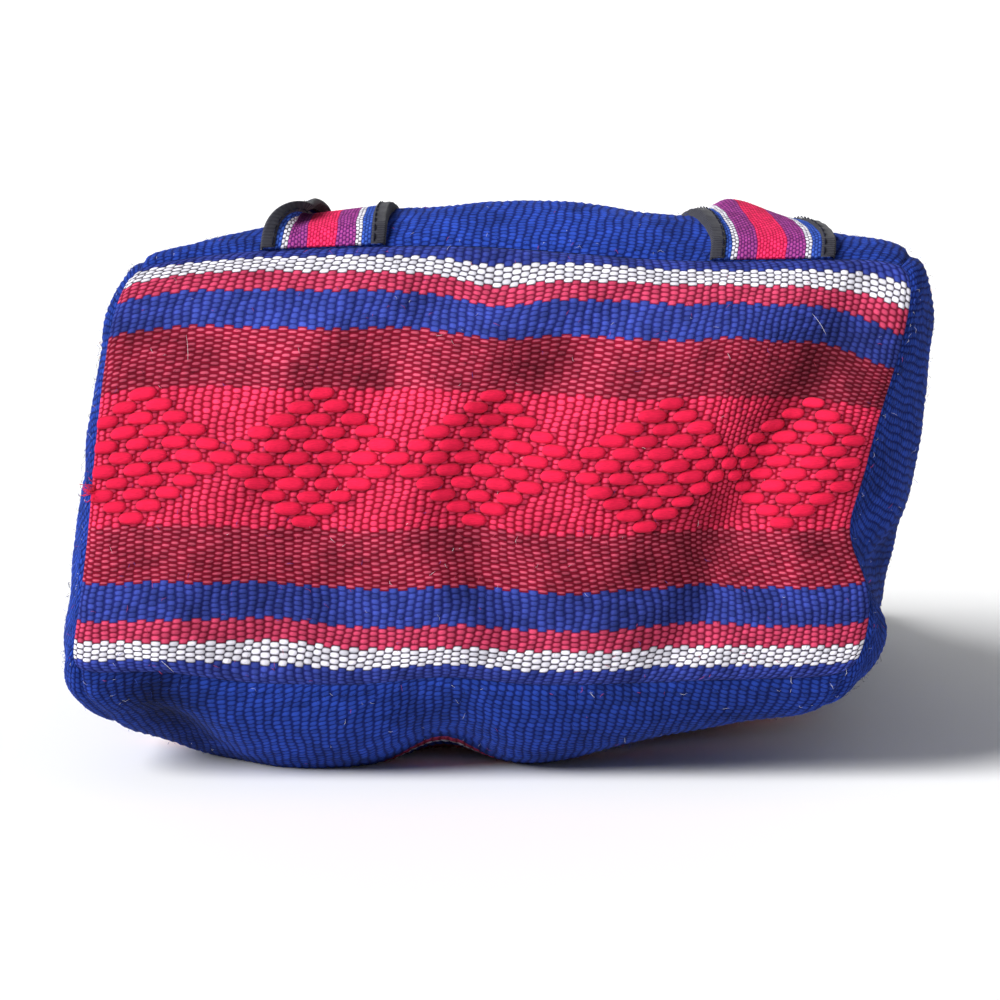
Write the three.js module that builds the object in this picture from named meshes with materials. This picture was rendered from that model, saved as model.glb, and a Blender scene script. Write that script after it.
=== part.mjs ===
import * as THREE from "three";

// A small woven backpack lying on its front, empty and open at the mouth.
// The base panel faces -Y, the mouth opens towards +Y, the back panel and its two straps are on top.
// Shapes are worked out with the base seam of the front panel at y = 0 and the floor at z = 0,
// and the whole bag is then moved so that its box is centred on the origin.

// Driving dimensions, mm
const CLOTH = 2.4; // thickness of the woven cloth
const FRONT_LENGTH = 330; // base seam to mouth, along the front panel
const ROLL_START = 105; // height at which the base panel starts to roll back
const ROLL_RADIUS = 120; // radius of that roll
const BASE_BULGE = 6; // how far the middle of the base panel stands out
const HEM_WIDTH = 18; // turned hem around the mouth, where the cloth is double
const HEM_STEP = 0.6; // length over which the hem's second layer begins
const SEAM_GAP = 0.15; // half of the gap left along the long seams
const BASE_GAP = 0.4; // half of the gap left around the base panel
const BOX_CENTRE = { x: 0.04, y: 160.7 }; // middle of the bag before it is moved

// Straps, mm
const STRAP = { width: 41.4, thickness: 2.6 };
const BINDING = { cover: 4, wall: 1, clear: 0.3 };
const STRAP_STEPS = 48;
const CURL = { along: 24, length: 18 }; // where the raised edge of each strap stands highest
const DRIFT = { across: 5.5, length: 20 }; // how far both straps set to the left as they leave the seam
const BACK_LENGTH = 300; // top seam to mouth, measured along Y

// Mesh density
const WIDE_COLUMNS = 28; // base, front and back panels, which share their corners along the seams
const SIDE_COLUMNS = 12; // side panels, and the base panel's height
const ROLL_ROWS = [0.02, 0.045, 0.08, 0.12, 0.17, 0.23]; // reach of the close rows behind the base seam
const BODY_ROWS = { from: 0.3, count: 8 }; // even rows from there to the hem
const SLOPE_STEP = 0.004; // step used to measure surface directions
const EDGE_CLEAR = 0.024; // directions of the base panel are measured this far inside its edge
const BASE_FACING = new THREE.Vector3(0, -1, 0.2);

// Cross-sections from the base seam (reach 0) to the mouth (reach 1). centre and half, the half width,
// lie across, top and belly are heights, lean is the sideways shift for each mm of height, and the
// powers say how square the upper and lower halves are.
const SECTIONS = [
  { reach: 0, centre: -3, half: 138.5, top: 184, belly: 36, lean: 0.14, topPower: 16, bellyPower: 16 },
  { reach: 0.03, centre: -3, half: 142, top: 187, belly: 18, lean: 0.145, topPower: 13, bellyPower: 8 },
  { reach: 0.08, centre: -2, half: 144.5, top: 188, belly: 4, lean: 0.15, topPower: 9, bellyPower: 5 },
  { reach: 0.15, centre: -1.5, half: 146.5, top: 187, belly: -4, lean: 0.15, topPower: 6.5, bellyPower: 3.6 },
  { reach: 0.3, centre: -2, half: 149, top: 168, belly: -5, lean: 0.11, topPower: 4.4, bellyPower: 3.2 },
  { reach: 0.5, centre: -1, half: 150, top: 130, belly: -5, lean: 0.05, topPower: 3.4, bellyPower: 3 },
  { reach: 0.75, centre: 0, half: 149, top: 84, belly: -4.5, lean: 0, topPower: 2.8, bellyPower: 2.8 },
  { reach: 1.0, centre: 0, half: 147, top: 52, belly: -4, lean: 0, topPower: 2.4, bellyPower: 2.6 },
];

// Dents (depth inwards) and swells (negative depth) of the body. loop goes once around the bag:
// 0 to 1 the back, 1 to 2 the right side, 2 to 3 the front, 3 to 4 the left side.
const DENTS = [
  { name: "waist of the right side", loop: 1.5, reach: 0.0, depth: 10, wide: 0.3, long: 0.06 },
  { name: "waist of the left side", loop: 3.25, reach: 0.0, depth: 3, wide: 0.4, long: 0.06 },
  { name: "hollow low on the right side", loop: 1.64, reach: 0.1, depth: 12, wide: 0.1, long: 0.1 },
  { name: "swell of the lower right corner", loop: 1.82, reach: 0.06, depth: -4, wide: 0.12, long: 0.07 },
  { name: "fold under the base", loop: 2.52, reach: 0.12, depth: 12, wide: 0.075, long: 0.1 },
  { name: "lift of the right corner", loop: 2.09, reach: 0.15, depth: 21, wide: 0.2, long: 0.1 },
  { name: "hollow beside the left corner", loop: 2.9, reach: 0.07, depth: 13, wide: 0.09, long: 0.06 },
  { name: "droop of the upper left corner", loop: 0.0, reach: 0.04, depth: 3, wide: 0.1, long: 0.12 },
  { name: "dip of the top seam", loop: 0.68, reach: 0.0, depth: 4.5, wide: 0.26, long: 0.05 },
  { name: "swell between the straps", loop: 0.48, reach: 0.1, depth: -11, wide: 0.27, long: 0.1 },
  { name: "sag of the back", loop: 0.42, reach: 0.62, depth: 6, wide: 0.22, long: 0.14 },
  { name: "slack of the right side", loop: 1.5, reach: 0.5, depth: 7, wide: 0.3, long: 0.16 },
  { name: "slack of the left side", loop: 3.5, reach: 0.55, depth: 8, wide: 0.3, long: 0.15 },
];

// Folds up the base panel, standing out by height. Each follows the line across + lean * up + bend * up ** 2,
// where across and up go from -1 to 1.
const BASE_FOLDS = [
  { name: "left ridge", across: -0.625, lean: 0.22, bend: 0.12, height: 3, wide: 0.12 },
  { name: "left valley", across: -0.355, lean: 0.12, bend: 0.25, height: -3.5, wide: 0.11 },
  { name: "middle ridge", across: -0.155, lean: 0.1, bend: 0.35, height: 3, wide: 0.1 },
  { name: "middle valley", across: 0.02, lean: 0.13, bend: 0.35, height: -3, wide: 0.09 },
  { name: "right ridge", across: 0.3, lean: 0.14, bend: 0.4, height: 3.5, wide: 0.17 },
  { name: "valley by the last diamond", across: 0.71, lean: 0.23, bend: 0, height: -5.5, wide: 0.09 },
  { name: "ridge by the right side", across: 0.89, lean: 0.1, bend: 0.1, height: 3, wide: 0.08 },
];
const FOLD_FADE = 6; // power with which the folds fade out towards the seams

// The straps: hand is -1 on the left, seam and hem are shares of the back panel's half width, and the
// edge on the raised hand curls up by curl as the strap goes over the top of the bag.
const STRAPS = [
  { label: "left", hand: -1, seam: 0.52, hem: 0.3, raised: -1, curl: 4 },
  { label: "right", hand: 1, seam: 0.654, hem: 0.3, raised: -1, curl: 4 },
];

// Route of each strap: along is measured from the top seam towards the mouth, lift from the back panel.
// The strap rises out of the seam, lies along the back, and its slack is folded once to and fro.
const STRAP_ROUTE = [
  { along: 3.5, lift: 3.5 },
  { along: 6, lift: 4.8 },
  { along: 12, lift: 4.8 },
  { along: 26, lift: 4.3 },
  { along: 50, lift: 4.2 },
  { along: 80, lift: 4.2 },
  { along: 140, lift: 4 },
  { along: 200, lift: 4 },
  { along: 224, lift: 5.6 },
  { along: 234, lift: 11.5 },
  { along: 224, lift: 17.5 },
  { along: 200, lift: 15.5 },
  { along: 170, lift: 11.8 },
  { along: 145, lift: 11.8 },
  { along: 130, lift: 15.5 },
  { along: 123, lift: 22 },
  { along: 131, lift: 28 },
  { along: 150, lift: 27 },
  { along: 185, lift: 23 },
  { along: 225, lift: 23.5 },
  { along: 258, lift: 24 },
  { along: 271, lift: 15.5 },
  { along: 280, lift: 6.5 },
  { along: 288, lift: 4 },
  { along: 297, lift: 3.9 },
];

const FINISHES = {
  cloth: { color: 0x2c4a9c, roughness: 0.9 },
  gusset: { color: 0x243a80, roughness: 0.9 },
  base: { color: 0xc02a42, roughness: 0.9 },
  strap: { color: 0xa8335e, roughness: 0.85 },
  binding: { color: 0x232328, roughness: 0.8 },
};

// Smooth value of one column of SECTIONS at any reach
function section(column, reach) {
  const last = SECTIONS.length - 1;
  let row = 0;
  while (row < last - 1 && SECTIONS[row + 1].reach < reach) row += 1;
  const slopeAt = (i) => {
    const before = SECTIONS[Math.max(i - 1, 0)];
    const after = SECTIONS[Math.min(i + 1, last)];
    return (after[column] - before[column]) / (after.reach - before.reach);
  };
  const from = SECTIONS[row];
  const to = SECTIONS[row + 1];
  const span = to.reach - from.reach;
  const t = (reach - from.reach) / span;
  const rise = to[column] - from[column];
  const startBend = slopeAt(row) * span - rise;
  const endBend = rise - slopeAt(row + 1) * span;
  return from[column] + t * rise + t * (1 - t) * ((1 - t) * startBend + t * endBend);
}

// Distance around the loop, the short way
function loopDistance(a, b) {
  const apart = Math.abs(a - b) % 4;
  return Math.min(apart, 4 - apart);
}

function bell(x) {
  return Math.exp(-x * x);
}

function dentDepth(loop, reach) {
  return DENTS.reduce((sum, dent) => {
    const across = bell(loopDistance(loop, dent.loop) / dent.wide);
    return sum + dent.depth * across * bell((reach - dent.reach) / dent.long);
  }, 0);
}

// Unit superellipse at a loop position, as across and up between -1 and 1
function ovalPoint(loop, topPower, bellyPower) {
  const side = Math.floor(loop) % 4;
  const s = 2 * (loop - Math.floor(loop)) - 1;
  const topCorner = 2 ** (-1 / topPower);
  const bellyCorner = 2 ** (-1 / bellyPower);
  const other = (value, power) => (1 - Math.abs(value) ** power) ** (1 / power);
  if (side === 0) return { across: s * topCorner, up: other(s * topCorner, topPower) };
  if (side === 2) return { across: -s * bellyCorner, up: -other(s * bellyCorner, bellyPower) };
  const height = side === 1 ? -s : s;
  const up = height * (height > 0 ? topCorner : bellyCorner);
  const across = other(up, height > 0 ? topPower : bellyPower);
  return { across: side === 1 ? across : -across, up };
}

// Point of a cross-section as x and z
function sectionPoint(loopAny, reach) {
  const loop = ((loopAny % 4) + 4) % 4;
  const topPower = section("topPower", reach);
  const bellyPower = section("bellyPower", reach);
  const halfWidth = section("half", reach);
  const top = section("top", reach);
  const belly = section("belly", reach);
  const halfHeight = (top - belly) / 2;
  const { across, up } = ovalPoint(loop, topPower, bellyPower);
  const power = up > 0 ? topPower : bellyPower;
  const outX = (Math.sign(across) * Math.abs(across) ** (power - 1)) / halfWidth;
  const outZ = (Math.sign(up) * Math.abs(up) ** (power - 1)) / halfHeight;
  const inset = dentDepth(loop, reach) / Math.hypot(outX, outZ);
  const rise = halfHeight * up;
  const z = (top + belly) / 2 + rise - inset * outZ;
  const x = section("centre", reach) + halfWidth * across + section("lean", reach) * rise - inset * outX;
  return { x, z: Math.max(z, 0) };
}

// How far back the rolled base panel lies at a height
function rollDepth(z) {
  const climb = THREE.MathUtils.clamp(z - ROLL_START, 0, ROLL_RADIUS);
  return ROLL_RADIUS - Math.sqrt(ROLL_RADIUS ** 2 - climb ** 2);
}

// Outer surface of the body
function bodyPoint(loop, reach) {
  const rim = rollDepth(sectionPoint(loop, 0).z);
  const { x, z } = sectionPoint(loop, reach);
  return new THREE.Vector3(x, rim * (1 - reach) + FRONT_LENGTH * reach, z);
}

function surfaceNormal(surface, u, v, outward) {
  const alongU = surface(u + SLOPE_STEP, v).sub(surface(u - SLOPE_STEP, v));
  const alongV = surface(u, v + SLOPE_STEP).sub(surface(u, v - SLOPE_STEP));
  const normal = alongU.cross(alongV).normalize();
  return normal.dot(outward) < 0 ? normal.negate() : normal;
}

function bodyNormal(loop, reach) {
  const inside = THREE.MathUtils.clamp(reach, SLOPE_STEP, 1 - SLOPE_STEP);
  const point = bodyPoint(loop, inside);
  const middle = (section("top", inside) + Math.max(section("belly", inside), 0)) / 2;
  const outward = new THREE.Vector3(point.x - section("centre", inside), 0, point.z - middle);
  return surfaceNormal(bodyPoint, loop, inside, outward);
}

function baseFoldHeight(across, up) {
  const total = BASE_FOLDS.reduce((sum, fold) => {
    const line = fold.across + fold.lean * up + fold.bend * up ** 2;
    return sum + fold.height * bell((across - line) / fold.wide);
  }, 0);
  return total * (1 - across ** FOLD_FADE) * (1 - up ** FOLD_FADE);
}

// Outer surface of the base panel, stretched between its four seams
function basePoint(across, up) {
  const u = (across + 1) / 2;
  const v = (up + 1) / 2;
  const top = bodyPoint(u, 0);
  const right = bodyPoint(2 - v, 0);
  const bottom = bodyPoint(3 - u, 0);
  const left = bodyPoint(3 + v, 0);
  const corner = (i) => bodyPoint(i, 0);
  const blend = (key) => {
    const edges = (1 - v) * bottom[key] + v * top[key] + (1 - u) * left[key] + u * right[key];
    const low = (1 - u) * corner(3)[key] + u * corner(2)[key];
    const high = (1 - u) * corner(0)[key] + u * corner(1)[key];
    return edges - (1 - v) * low - v * high;
  };
  const bulge = BASE_BULGE * (1 - across ** 2) * (1 - up ** 2);
  const z = blend("z");
  return new THREE.Vector3(blend("x"), rollDepth(z) - bulge - baseFoldHeight(across, up), z);
}

function baseNormal(across, up) {
  const most = 1 - EDGE_CLEAR;
  const a = THREE.MathUtils.clamp(across, -most, most);
  const b = THREE.MathUtils.clamp(up, -most, most);
  return surfaceNormal(basePoint, a, b, BASE_FACING);
}

// Place on the base panel's edge that meets a loop position
function baseEdge(loopAny) {
  const loop = ((loopAny % 4) + 4) % 4;
  const s = 2 * (loop - Math.floor(loop)) - 1;
  return [[s, 1], [1, -s], [-s, -1], [-1, s]][Math.floor(loop)];
}

// Inner point under an outer one: straight in, or along the mitre where two panels meet at the base seam
function innerPoint(outer, normal, thickness, meets) {
  const inward = meets ? normal.clone().add(meets).normalize() : normal.clone();
  return outer.clone().addScaledVector(inward, -thickness / inward.dot(normal));
}

// Closed shell from two grids of points, rows by columns, with the outer grid on top
function shellGeometry(outer, inner) {
  const rows = outer.length;
  const columns = outer[0].length;
  const points = [...outer.flat(), ...inner.flat()];
  const faces = [];
  const quad = (a, b, c, d) => faces.push(a, b, c, a, c, d);
  const at = (layer, row, column) => layer * rows * columns + row * columns + column;
  for (let r = 0; r + 1 < rows; r += 1) {
    for (let c = 0; c + 1 < columns; c += 1) {
      quad(at(0, r, c), at(0, r, c + 1), at(0, r + 1, c + 1), at(0, r + 1, c));
      quad(at(1, r, c), at(1, r + 1, c), at(1, r + 1, c + 1), at(1, r, c + 1));
    }
    quad(at(0, r, 0), at(0, r + 1, 0), at(1, r + 1, 0), at(1, r, 0));
    quad(at(0, r + 1, columns - 1), at(0, r, columns - 1), at(1, r, columns - 1), at(1, r + 1, columns - 1));
  }
  for (let c = 0; c + 1 < columns; c += 1) {
    quad(at(0, 0, c + 1), at(0, 0, c), at(1, 0, c), at(1, 0, c + 1));
    quad(at(0, rows - 1, c), at(0, rows - 1, c + 1), at(1, rows - 1, c + 1), at(1, rows - 1, c));
  }
  return solidGeometry(points, faces);
}

// Geometry of a closed surface, turned so that its faces point out
function solidGeometry(points, faces) {
  let volume = 0;
  for (let i = 0; i < faces.length; i += 3) {
    const [a, b, c] = [points[faces[i]], points[faces[i + 1]], points[faces[i + 2]]];
    volume += a.dot(b.clone().cross(c));
  }
  const outFaces = volume < 0 ? faces.toReversed() : faces;
  const geometry = new THREE.BufferGeometry().setFromPoints(points);
  geometry.setIndex(outFaces);
  geometry.computeVertexNormals();
  return geometry;
}

function spread(count, from, to) {
  return Array.from({ length: count + 1 }, (_, i) => from + ((to - from) * i) / count);
}

// Rows along the body, close together at the rolled base and with a step where the hem begins
function bodyRows() {
  const start = BASE_GAP / FRONT_LENGTH;
  const hem = 1 - HEM_WIDTH / FRONT_LENGTH;
  const even = spread(BODY_ROWS.count, BODY_ROWS.from, hem);
  return [start, ...ROLL_ROWS, ...even, hem + HEM_STEP / FRONT_LENGTH, 1];
}

// One side of the body, between two corners of the loop
function bodyPanel(side, columns, width) {
  const trim = SEAM_GAP / width;
  const loops = spread(columns, side + trim, side + 1 - trim);
  const rows = bodyRows();
  const doubled = 1 - (HEM_WIDTH - HEM_STEP / 2) / FRONT_LENGTH;
  const outer = rows.map((reach) => loops.map((loop) => bodyPoint(loop, reach)));
  const inner = rows.map((reach, r) =>
    loops.map((loop, c) => {
      const thickness = reach > doubled ? 2 * CLOTH : CLOTH;
      const meets = r === 0 ? baseNormal(...baseEdge(loop)) : null;
      return innerPoint(outer[r][c], bodyNormal(loop, reach), thickness, meets);
    }),
  );
  return shellGeometry(outer, inner);
}

function basePanel() {
  const halfWidth = SECTIONS[0].half;
  const halfHeight = (SECTIONS[0].top - SECTIONS[0].belly) / 2;
  const across = spread(WIDE_COLUMNS, -1 + BASE_GAP / halfWidth, 1 - BASE_GAP / halfWidth);
  const ups = spread(SIDE_COLUMNS, -1 + BASE_GAP / halfHeight, 1 - BASE_GAP / halfHeight);
  const edgeLoop = (r, c) => {
    if (r === SIDE_COLUMNS) return (across[c] + 1) / 2;
    if (r === 0) return 3 - (across[c] + 1) / 2;
    if (c === WIDE_COLUMNS) return 2 - (ups[r] + 1) / 2;
    return c === 0 ? 3 + (ups[r] + 1) / 2 : null;
  };
  const outer = ups.map((up) => across.map((a) => basePoint(a, up)));
  const inner = ups.map((up, r) =>
    across.map((a, c) => {
      const loop = edgeLoop(r, c);
      const meets = loop === null ? null : bodyNormal(loop, 0);
      return innerPoint(outer[r][c], baseNormal(a, up), CLOTH, meets);
    }),
  );
  return shellGeometry(outer, inner);
}

// Middle line of a strap, with its width and thickness directions. Its two edges follow the back
// panel side by side, so that the strap lies on the panel's slope.
function strapFrames({ hand, seam, hem, raised, curl }) {
  const backWidth = 2 * SECTIONS[0].half;
  const edgeCurve = (edge) => {
    const place = ({ along, lift }) => {
      const reach = along / BACK_LENGTH;
      const share = seam + (hem - seam) * reach;
      const drift = DRIFT.across * (1 - bell(along / DRIFT.length));
      const loop = (1 + hand * share) / 2 + ((edge * STRAP.width) / 2 - drift) / backWidth;
      const extra = edge === raised ? curl * bell((along - CURL.along) / CURL.length) : 0;
      return bodyPoint(loop, reach).addScaledVector(bodyNormal(loop, reach), lift + extra);
    };
    return new THREE.CatmullRomCurve3(STRAP_ROUTE.map(place), false, "centripetal");
  };
  const left = edgeCurve(-1);
  const right = edgeCurve(1);
  return spread(STRAP_STEPS, 0, 1).map((t) => {
    const width = right.getPoint(t).sub(left.getPoint(t)).normalize();
    const tangent = left.getTangent(t).add(right.getTangent(t)).normalize();
    const thickness = width.clone().cross(tangent).normalize();
    return { point: left.getPoint(t).lerp(right.getPoint(t), 0.5), width, thickness };
  });
}

// Solid swept along a strap from a closed outline of (across, through) pairs
function sweep(frames, outline) {
  const points = frames.flatMap(({ point, width, thickness }) =>
    outline.map(([across, through]) =>
      point.clone().addScaledVector(width, across).addScaledVector(thickness, through),
    ),
  );
  const count = outline.length;
  const faces = [];
  for (let i = 0; i + 1 < frames.length; i += 1) {
    for (let j = 0; j < count; j += 1) {
      const a = i * count + j;
      const b = i * count + ((j + 1) % count);
      faces.push(a, b, b + count, a, b + count, a + count);
    }
  }
  const contour = outline.map(([across, through]) => new THREE.Vector2(across, through));
  const last = (frames.length - 1) * count;
  for (const [a, b, c] of THREE.ShapeUtils.triangulateShape(contour, [])) {
    faces.push(a, c, b, last + a, last + b, last + c);
  }
  return solidGeometry(points, faces);
}

function bandOutline() {
  const w = STRAP.width / 2;
  const t = STRAP.thickness / 2;
  return [[-w, -t], [w, -t], [w, t], [-w, t]];
}

// Tape folded over one edge of a strap (edge -1 or 1), as a channel open towards the strap's middle
function bindingOutline(edge) {
  const inside = STRAP.thickness / 2 + BINDING.clear;
  const outside = inside + BINDING.wall;
  const lip = STRAP.width / 2 - BINDING.cover;
  const bottom = STRAP.width / 2 + BINDING.clear;
  const back = bottom + BINDING.wall;
  const channel = [
    [lip, -outside],
    [back, -outside],
    [back, outside],
    [lip, outside],
    [lip, inside],
    [bottom, inside],
    [bottom, -inside],
    [lip, -inside],
  ];
  return edge > 0 ? channel : channel.map(([across, through]) => [-across, through]).reverse();
}

function piece(name, geometry, finish) {
  const material = new THREE.MeshStandardMaterial({ ...finish, metalness: 0 });
  const mesh = new THREE.Mesh(geometry, material);
  mesh.name = name;
  return mesh;
}

function strap(row) {
  const { label, hand } = row;
  const frames = strapFrames(row);
  const group = new THREE.Group();
  group.add(piece(`strap_${label}`, sweep(frames, bandOutline()), FINISHES.strap));
  for (const [place, edge] of [["outer", hand], ["inner", -hand]]) {
    const name = `strap_${label}_binding_${place}`;
    group.add(piece(name, sweep(frames, bindingOutline(edge)), FINISHES.binding));
  }
  return group;
}

const backpack = new THREE.Group();
backpack.add(
  piece("bottom_panel", basePanel(), FINISHES.base),
  piece("back_panel", bodyPanel(0, WIDE_COLUMNS, 2 * SECTIONS[0].half), FINISHES.cloth),
  piece("side_panel_right", bodyPanel(1, SIDE_COLUMNS, SECTIONS[0].top), FINISHES.gusset),
  piece("front_panel", bodyPanel(2, WIDE_COLUMNS, 2 * SECTIONS[0].half), FINISHES.cloth),
  piece("side_panel_left", bodyPanel(3, SIDE_COLUMNS, SECTIONS[0].top), FINISHES.gusset),
  ...STRAPS.map(strap),
);
backpack.position.set(-BOX_CENTRE.x, -BOX_CENTRE.y, 0);

export default backpack;
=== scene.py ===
import math

import bpy
import numpy as np
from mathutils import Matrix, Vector


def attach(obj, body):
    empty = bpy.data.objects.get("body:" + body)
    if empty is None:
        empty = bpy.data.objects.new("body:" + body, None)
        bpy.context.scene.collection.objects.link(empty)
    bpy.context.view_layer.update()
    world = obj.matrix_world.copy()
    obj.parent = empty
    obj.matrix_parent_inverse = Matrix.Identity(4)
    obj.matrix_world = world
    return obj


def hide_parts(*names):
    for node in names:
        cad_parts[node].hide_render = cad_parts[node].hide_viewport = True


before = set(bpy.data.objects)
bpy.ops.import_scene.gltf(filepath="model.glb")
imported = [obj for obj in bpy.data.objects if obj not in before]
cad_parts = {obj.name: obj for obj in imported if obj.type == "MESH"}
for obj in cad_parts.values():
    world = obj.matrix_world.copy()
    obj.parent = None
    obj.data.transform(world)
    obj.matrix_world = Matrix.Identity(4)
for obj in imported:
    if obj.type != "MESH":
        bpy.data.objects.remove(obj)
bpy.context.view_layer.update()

# A small woven backpack lying on its front, seen from its base.
# Sizes are in millimetres, with the base seam of the front panel at y = 0 and the floor at z = 0.
# make_object moves every piece to the frame's origin and turns millimetres into metres.
# On the body, loop goes once around (0 to 1 back, to 2 right side, to 3 front, to 4 left side) and reach goes
# from 0 at the base seam to 1 at the mouth. On the base panel, across and up go from -1 to 1.

MM = 0.001
ORIGIN = np.array([0.04, 160.7, 0.0])
SEED = 7

# Driving dimensions of the bag
CLOTH = 2.4
FRONT_LENGTH = 330.0
BACK_LENGTH = 300.0
ROLL_START = 105.0
ROLL_RADIUS = 120.0
BASE_BULGE = 6.0
HEM_WIDTH = 18.0

# Cross-sections of the body
SECTION_COLUMNS = ("reach", "centre", "half", "top", "belly", "lean", "top_power", "belly_power")
SECTION_ROWS = np.array([
    (0, -3, 138.5, 184, 36, 0.14, 16, 16),
    (0.03, -3, 142, 187, 18, 0.145, 13, 8),
    (0.08, -2, 144.5, 188, 4, 0.15, 9, 5),
    (0.15, -1.5, 146.5, 187, -4, 0.15, 6.5, 3.6),
    (0.3, -2, 149, 168, -5, 0.11, 4.4, 3.2),
    (0.5, -1, 150, 130, -5, 0.05, 3.4, 3),
    (0.75, 0, 149, 84, -4.5, 0, 2.8, 2.8),
    (1, 0, 147, 52, -4, 0, 2.4, 2.6),
])
SECTIONS = dict(zip(SECTION_COLUMNS, SECTION_ROWS.T))

# Dents (depth inwards) and swells of the body: loop, reach, depth, wide, long
DENTS = [
    (1.5, 0.0, 10, 0.3, 0.06), (3.25, 0.0, 3, 0.4, 0.06), (1.64, 0.1, 12, 0.1, 0.1),
    (1.82, 0.06, -4, 0.12, 0.07), (2.52, 0.12, 12, 0.075, 0.1), (2.09, 0.15, 21, 0.2, 0.1),
    (2.9, 0.07, 13, 0.09, 0.06), (0.0, 0.04, 3, 0.1, 0.12), (0.68, 0.0, 4.5, 0.26, 0.05),
    (0.48, 0.1, -11, 0.27, 0.1), (0.42, 0.62, 6, 0.22, 0.14), (1.5, 0.5, 7, 0.3, 0.16),
    (3.5, 0.55, 8, 0.3, 0.15),
]

# Folds up the base panel, standing out or in: across at half height, lean, bend, height, wide
BASE_FOLDS = [
    (-0.625, 0.22, 0.12, 3, 0.12), (-0.355, 0.12, 0.25, -2.1, 0.11), (-0.155, 0.1, 0.35, 3, 0.1),
    (0.02, 0.13, 0.35, -2, 0.09), (0.3, 0.14, 0.4, 3.5, 0.17), (0.71, 0.23, 0, -5.5, 0.09),
    (0.89, 0.1, 0.1, 3, 0.08),
]
# How far the rows of the base cloth are pushed up along it: across, up, rise, wide, tall
BASE_WAVES = [
    (-0.53, -0.75, 3.4, 0.17, 0.4), (0.5, -0.7, 2.0, 0.22, 0.4), (-0.03, 0.85, -4.6, 0.12, 0.35),
    (-0.85, 0.8, 2.4, 0.3, 0.5), (1.0, 0.75, -6.0, 0.2, 0.45), (0.55, 0.6, 1.8, 0.08, 0.25),
    (-0.08, 0.95, -5.0, 0.16, 0.16), (-0.45, -0.88, 2.0, 0.2, 0.25), (1.0, 0.82, -6.5, 0.13, 0.35),
]
# Powers by which both fade out at the seams
FOLD_FADE = 6
WAVE_FADE = 8

# Painted shade where the base panel's folds turn from the light, and painted highlight on its ridges where
# the depth is below 0: across, up, depth, wide, tall
BASE_PAINTED_SHADING = [
    (0.77, 0.46, 0.85, 0.14, 0.26), (0.9, 0.6, 0.45, 0.12, 0.12), (-0.56, 0.5, -0.4, 0.09, 0.14),
    (-0.22, 0.41, -0.35, 0.09, 0.12), (-0.39, 0.56, 0.35, 0.1, 0.1), (-0.45, 0.38, 0.2, 0.1, 0.08),
    (0.07, 0.45, 0.35, 0.08, 0.1), (-0.76, 0.44, 0.3, 0.12, 0.1), (-0.45, 0.66, -0.4, 0.45, 0.11),
    (0.25, 0.66, -0.35, 0.35, 0.11), (-0.665, -0.17, 0.25, 0.12, 0.1), (-0.26, -0.17, 0.3, 0.1, 0.1),
    (0.16, -0.17, 0.3, 0.1, 0.1), (0.58, -0.17, 0.3, 0.1, 0.1), (0.63, 0.0, 0.3, 0.09, 0.3),
    (0.54, -0.42, 0.45, 0.1, 0.2), (0.4, -0.66, 0.4, 0.14, 0.14), (-0.52, -0.56, 0.3, 0.22, 0.2),
]
# Painted shade and painted highlight on the body, the same way: loop, reach, depth, wide, long
BODY_PAINTED_SHADING = [
    (2.905, 0.05, 1.3, 0.065, 0.08), (2.2, 0.05, 0.4, 0.17, 0.08), (2.72, 0.06, -0.2, 0.09, 0.06),
    (0.5, 0.08, -0.5, 0.45, 0.15),
]

# Small crumples of the cloth: waves across and up, or around and along, phase, height
BASE_CRUMPLES = [(27, 11, 1.0, 0.25), (-19, 17, 2.0, 0.25), (41, -9, 0.5, 0.18), (33, 23, 4.0, 0.18)]
BODY_CRUMPLES = [(31, 35, 0.3, 0.25), (-23, 51, 1.7, 0.25), (47, -29, 2.9, 0.2)]

# Where the warps of the base cloth lie; at half height they crowd in the fold by the last diamond
BASE_WARPS = np.array([0, 5.6, 25.6, 45.6, 65.6, 94.3])
BASE_ACROSS = np.array([-1, -0.876, -0.4245, 0.0116, 0.453, 1])
CROWDED_WARPS = np.array([0, 5.6, 25.6, 45.6, 65.6, 71, 80, 85.6, 94.3])
CROWDED_ACROSS = np.array([-1, -0.876, -0.4245, 0.0116, 0.453, 0.572, 0.688, 0.8065, 1])
CROWDED_TALL = 0.5

# Seams: how far and how widely the cloth is pulled in along them, and where the inner layer ends
SEAM_PULL = 1.1
SEAM_REACH = 2.4
INNER_INSET = 3.0

# The straps: seam and STRAP_HEM are shares of the back panel's half width where a strap starts and ends.
# Both set to the left as they leave the seam. The left edge of one curls over by turn, and the other arches
# up behind the crest of the bag.
STRAPS = {
    "left": dict(hand=-1, seam=0.52, turn=2.75, arch=0.0),
    "right": dict(hand=1, seam=0.654, turn=0.0, arch=6.5),
}
STRAP_WIDTH = 41.4
STRAP_THICK = 2.6
STRAP_HEM = 0.3
DRIFT_ACROSS = 5.5
DRIFT_LENGTH = 20.0
# The curl: where along the strap it begins and how softly, its width, and how far it stays and unrolls
FOLD_ALONG = 20.0
FOLD_LENGTH = 10.0
FOLD_WIDE = 12.0
FOLD_HINGE = STRAP_WIDTH / 2 - FOLD_WIDE
FOLD_RADIUS = 2.6
FOLD_RISE = 0.8
FOLD_HOLD = 35.0
FOLD_UNROLL = 4.0
# The arch: its place and length along the strap, its peak across it, and how wide it is to both sides
ARCH_ALONG = 47.0
ARCH_LENGTH = 15.0
ARCH_PEAK = -0.3
ARCH_LEFT = 0.38
ARCH_RIGHT = 0.8
# Spacing of a strap's picks, and of its points: fine near the seam
STRAP_PICK = 0.85
STRAP_FINE = 75.0
STRAP_FINE_STEP = 0.425
STRAP_STEP = 2.5
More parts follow.
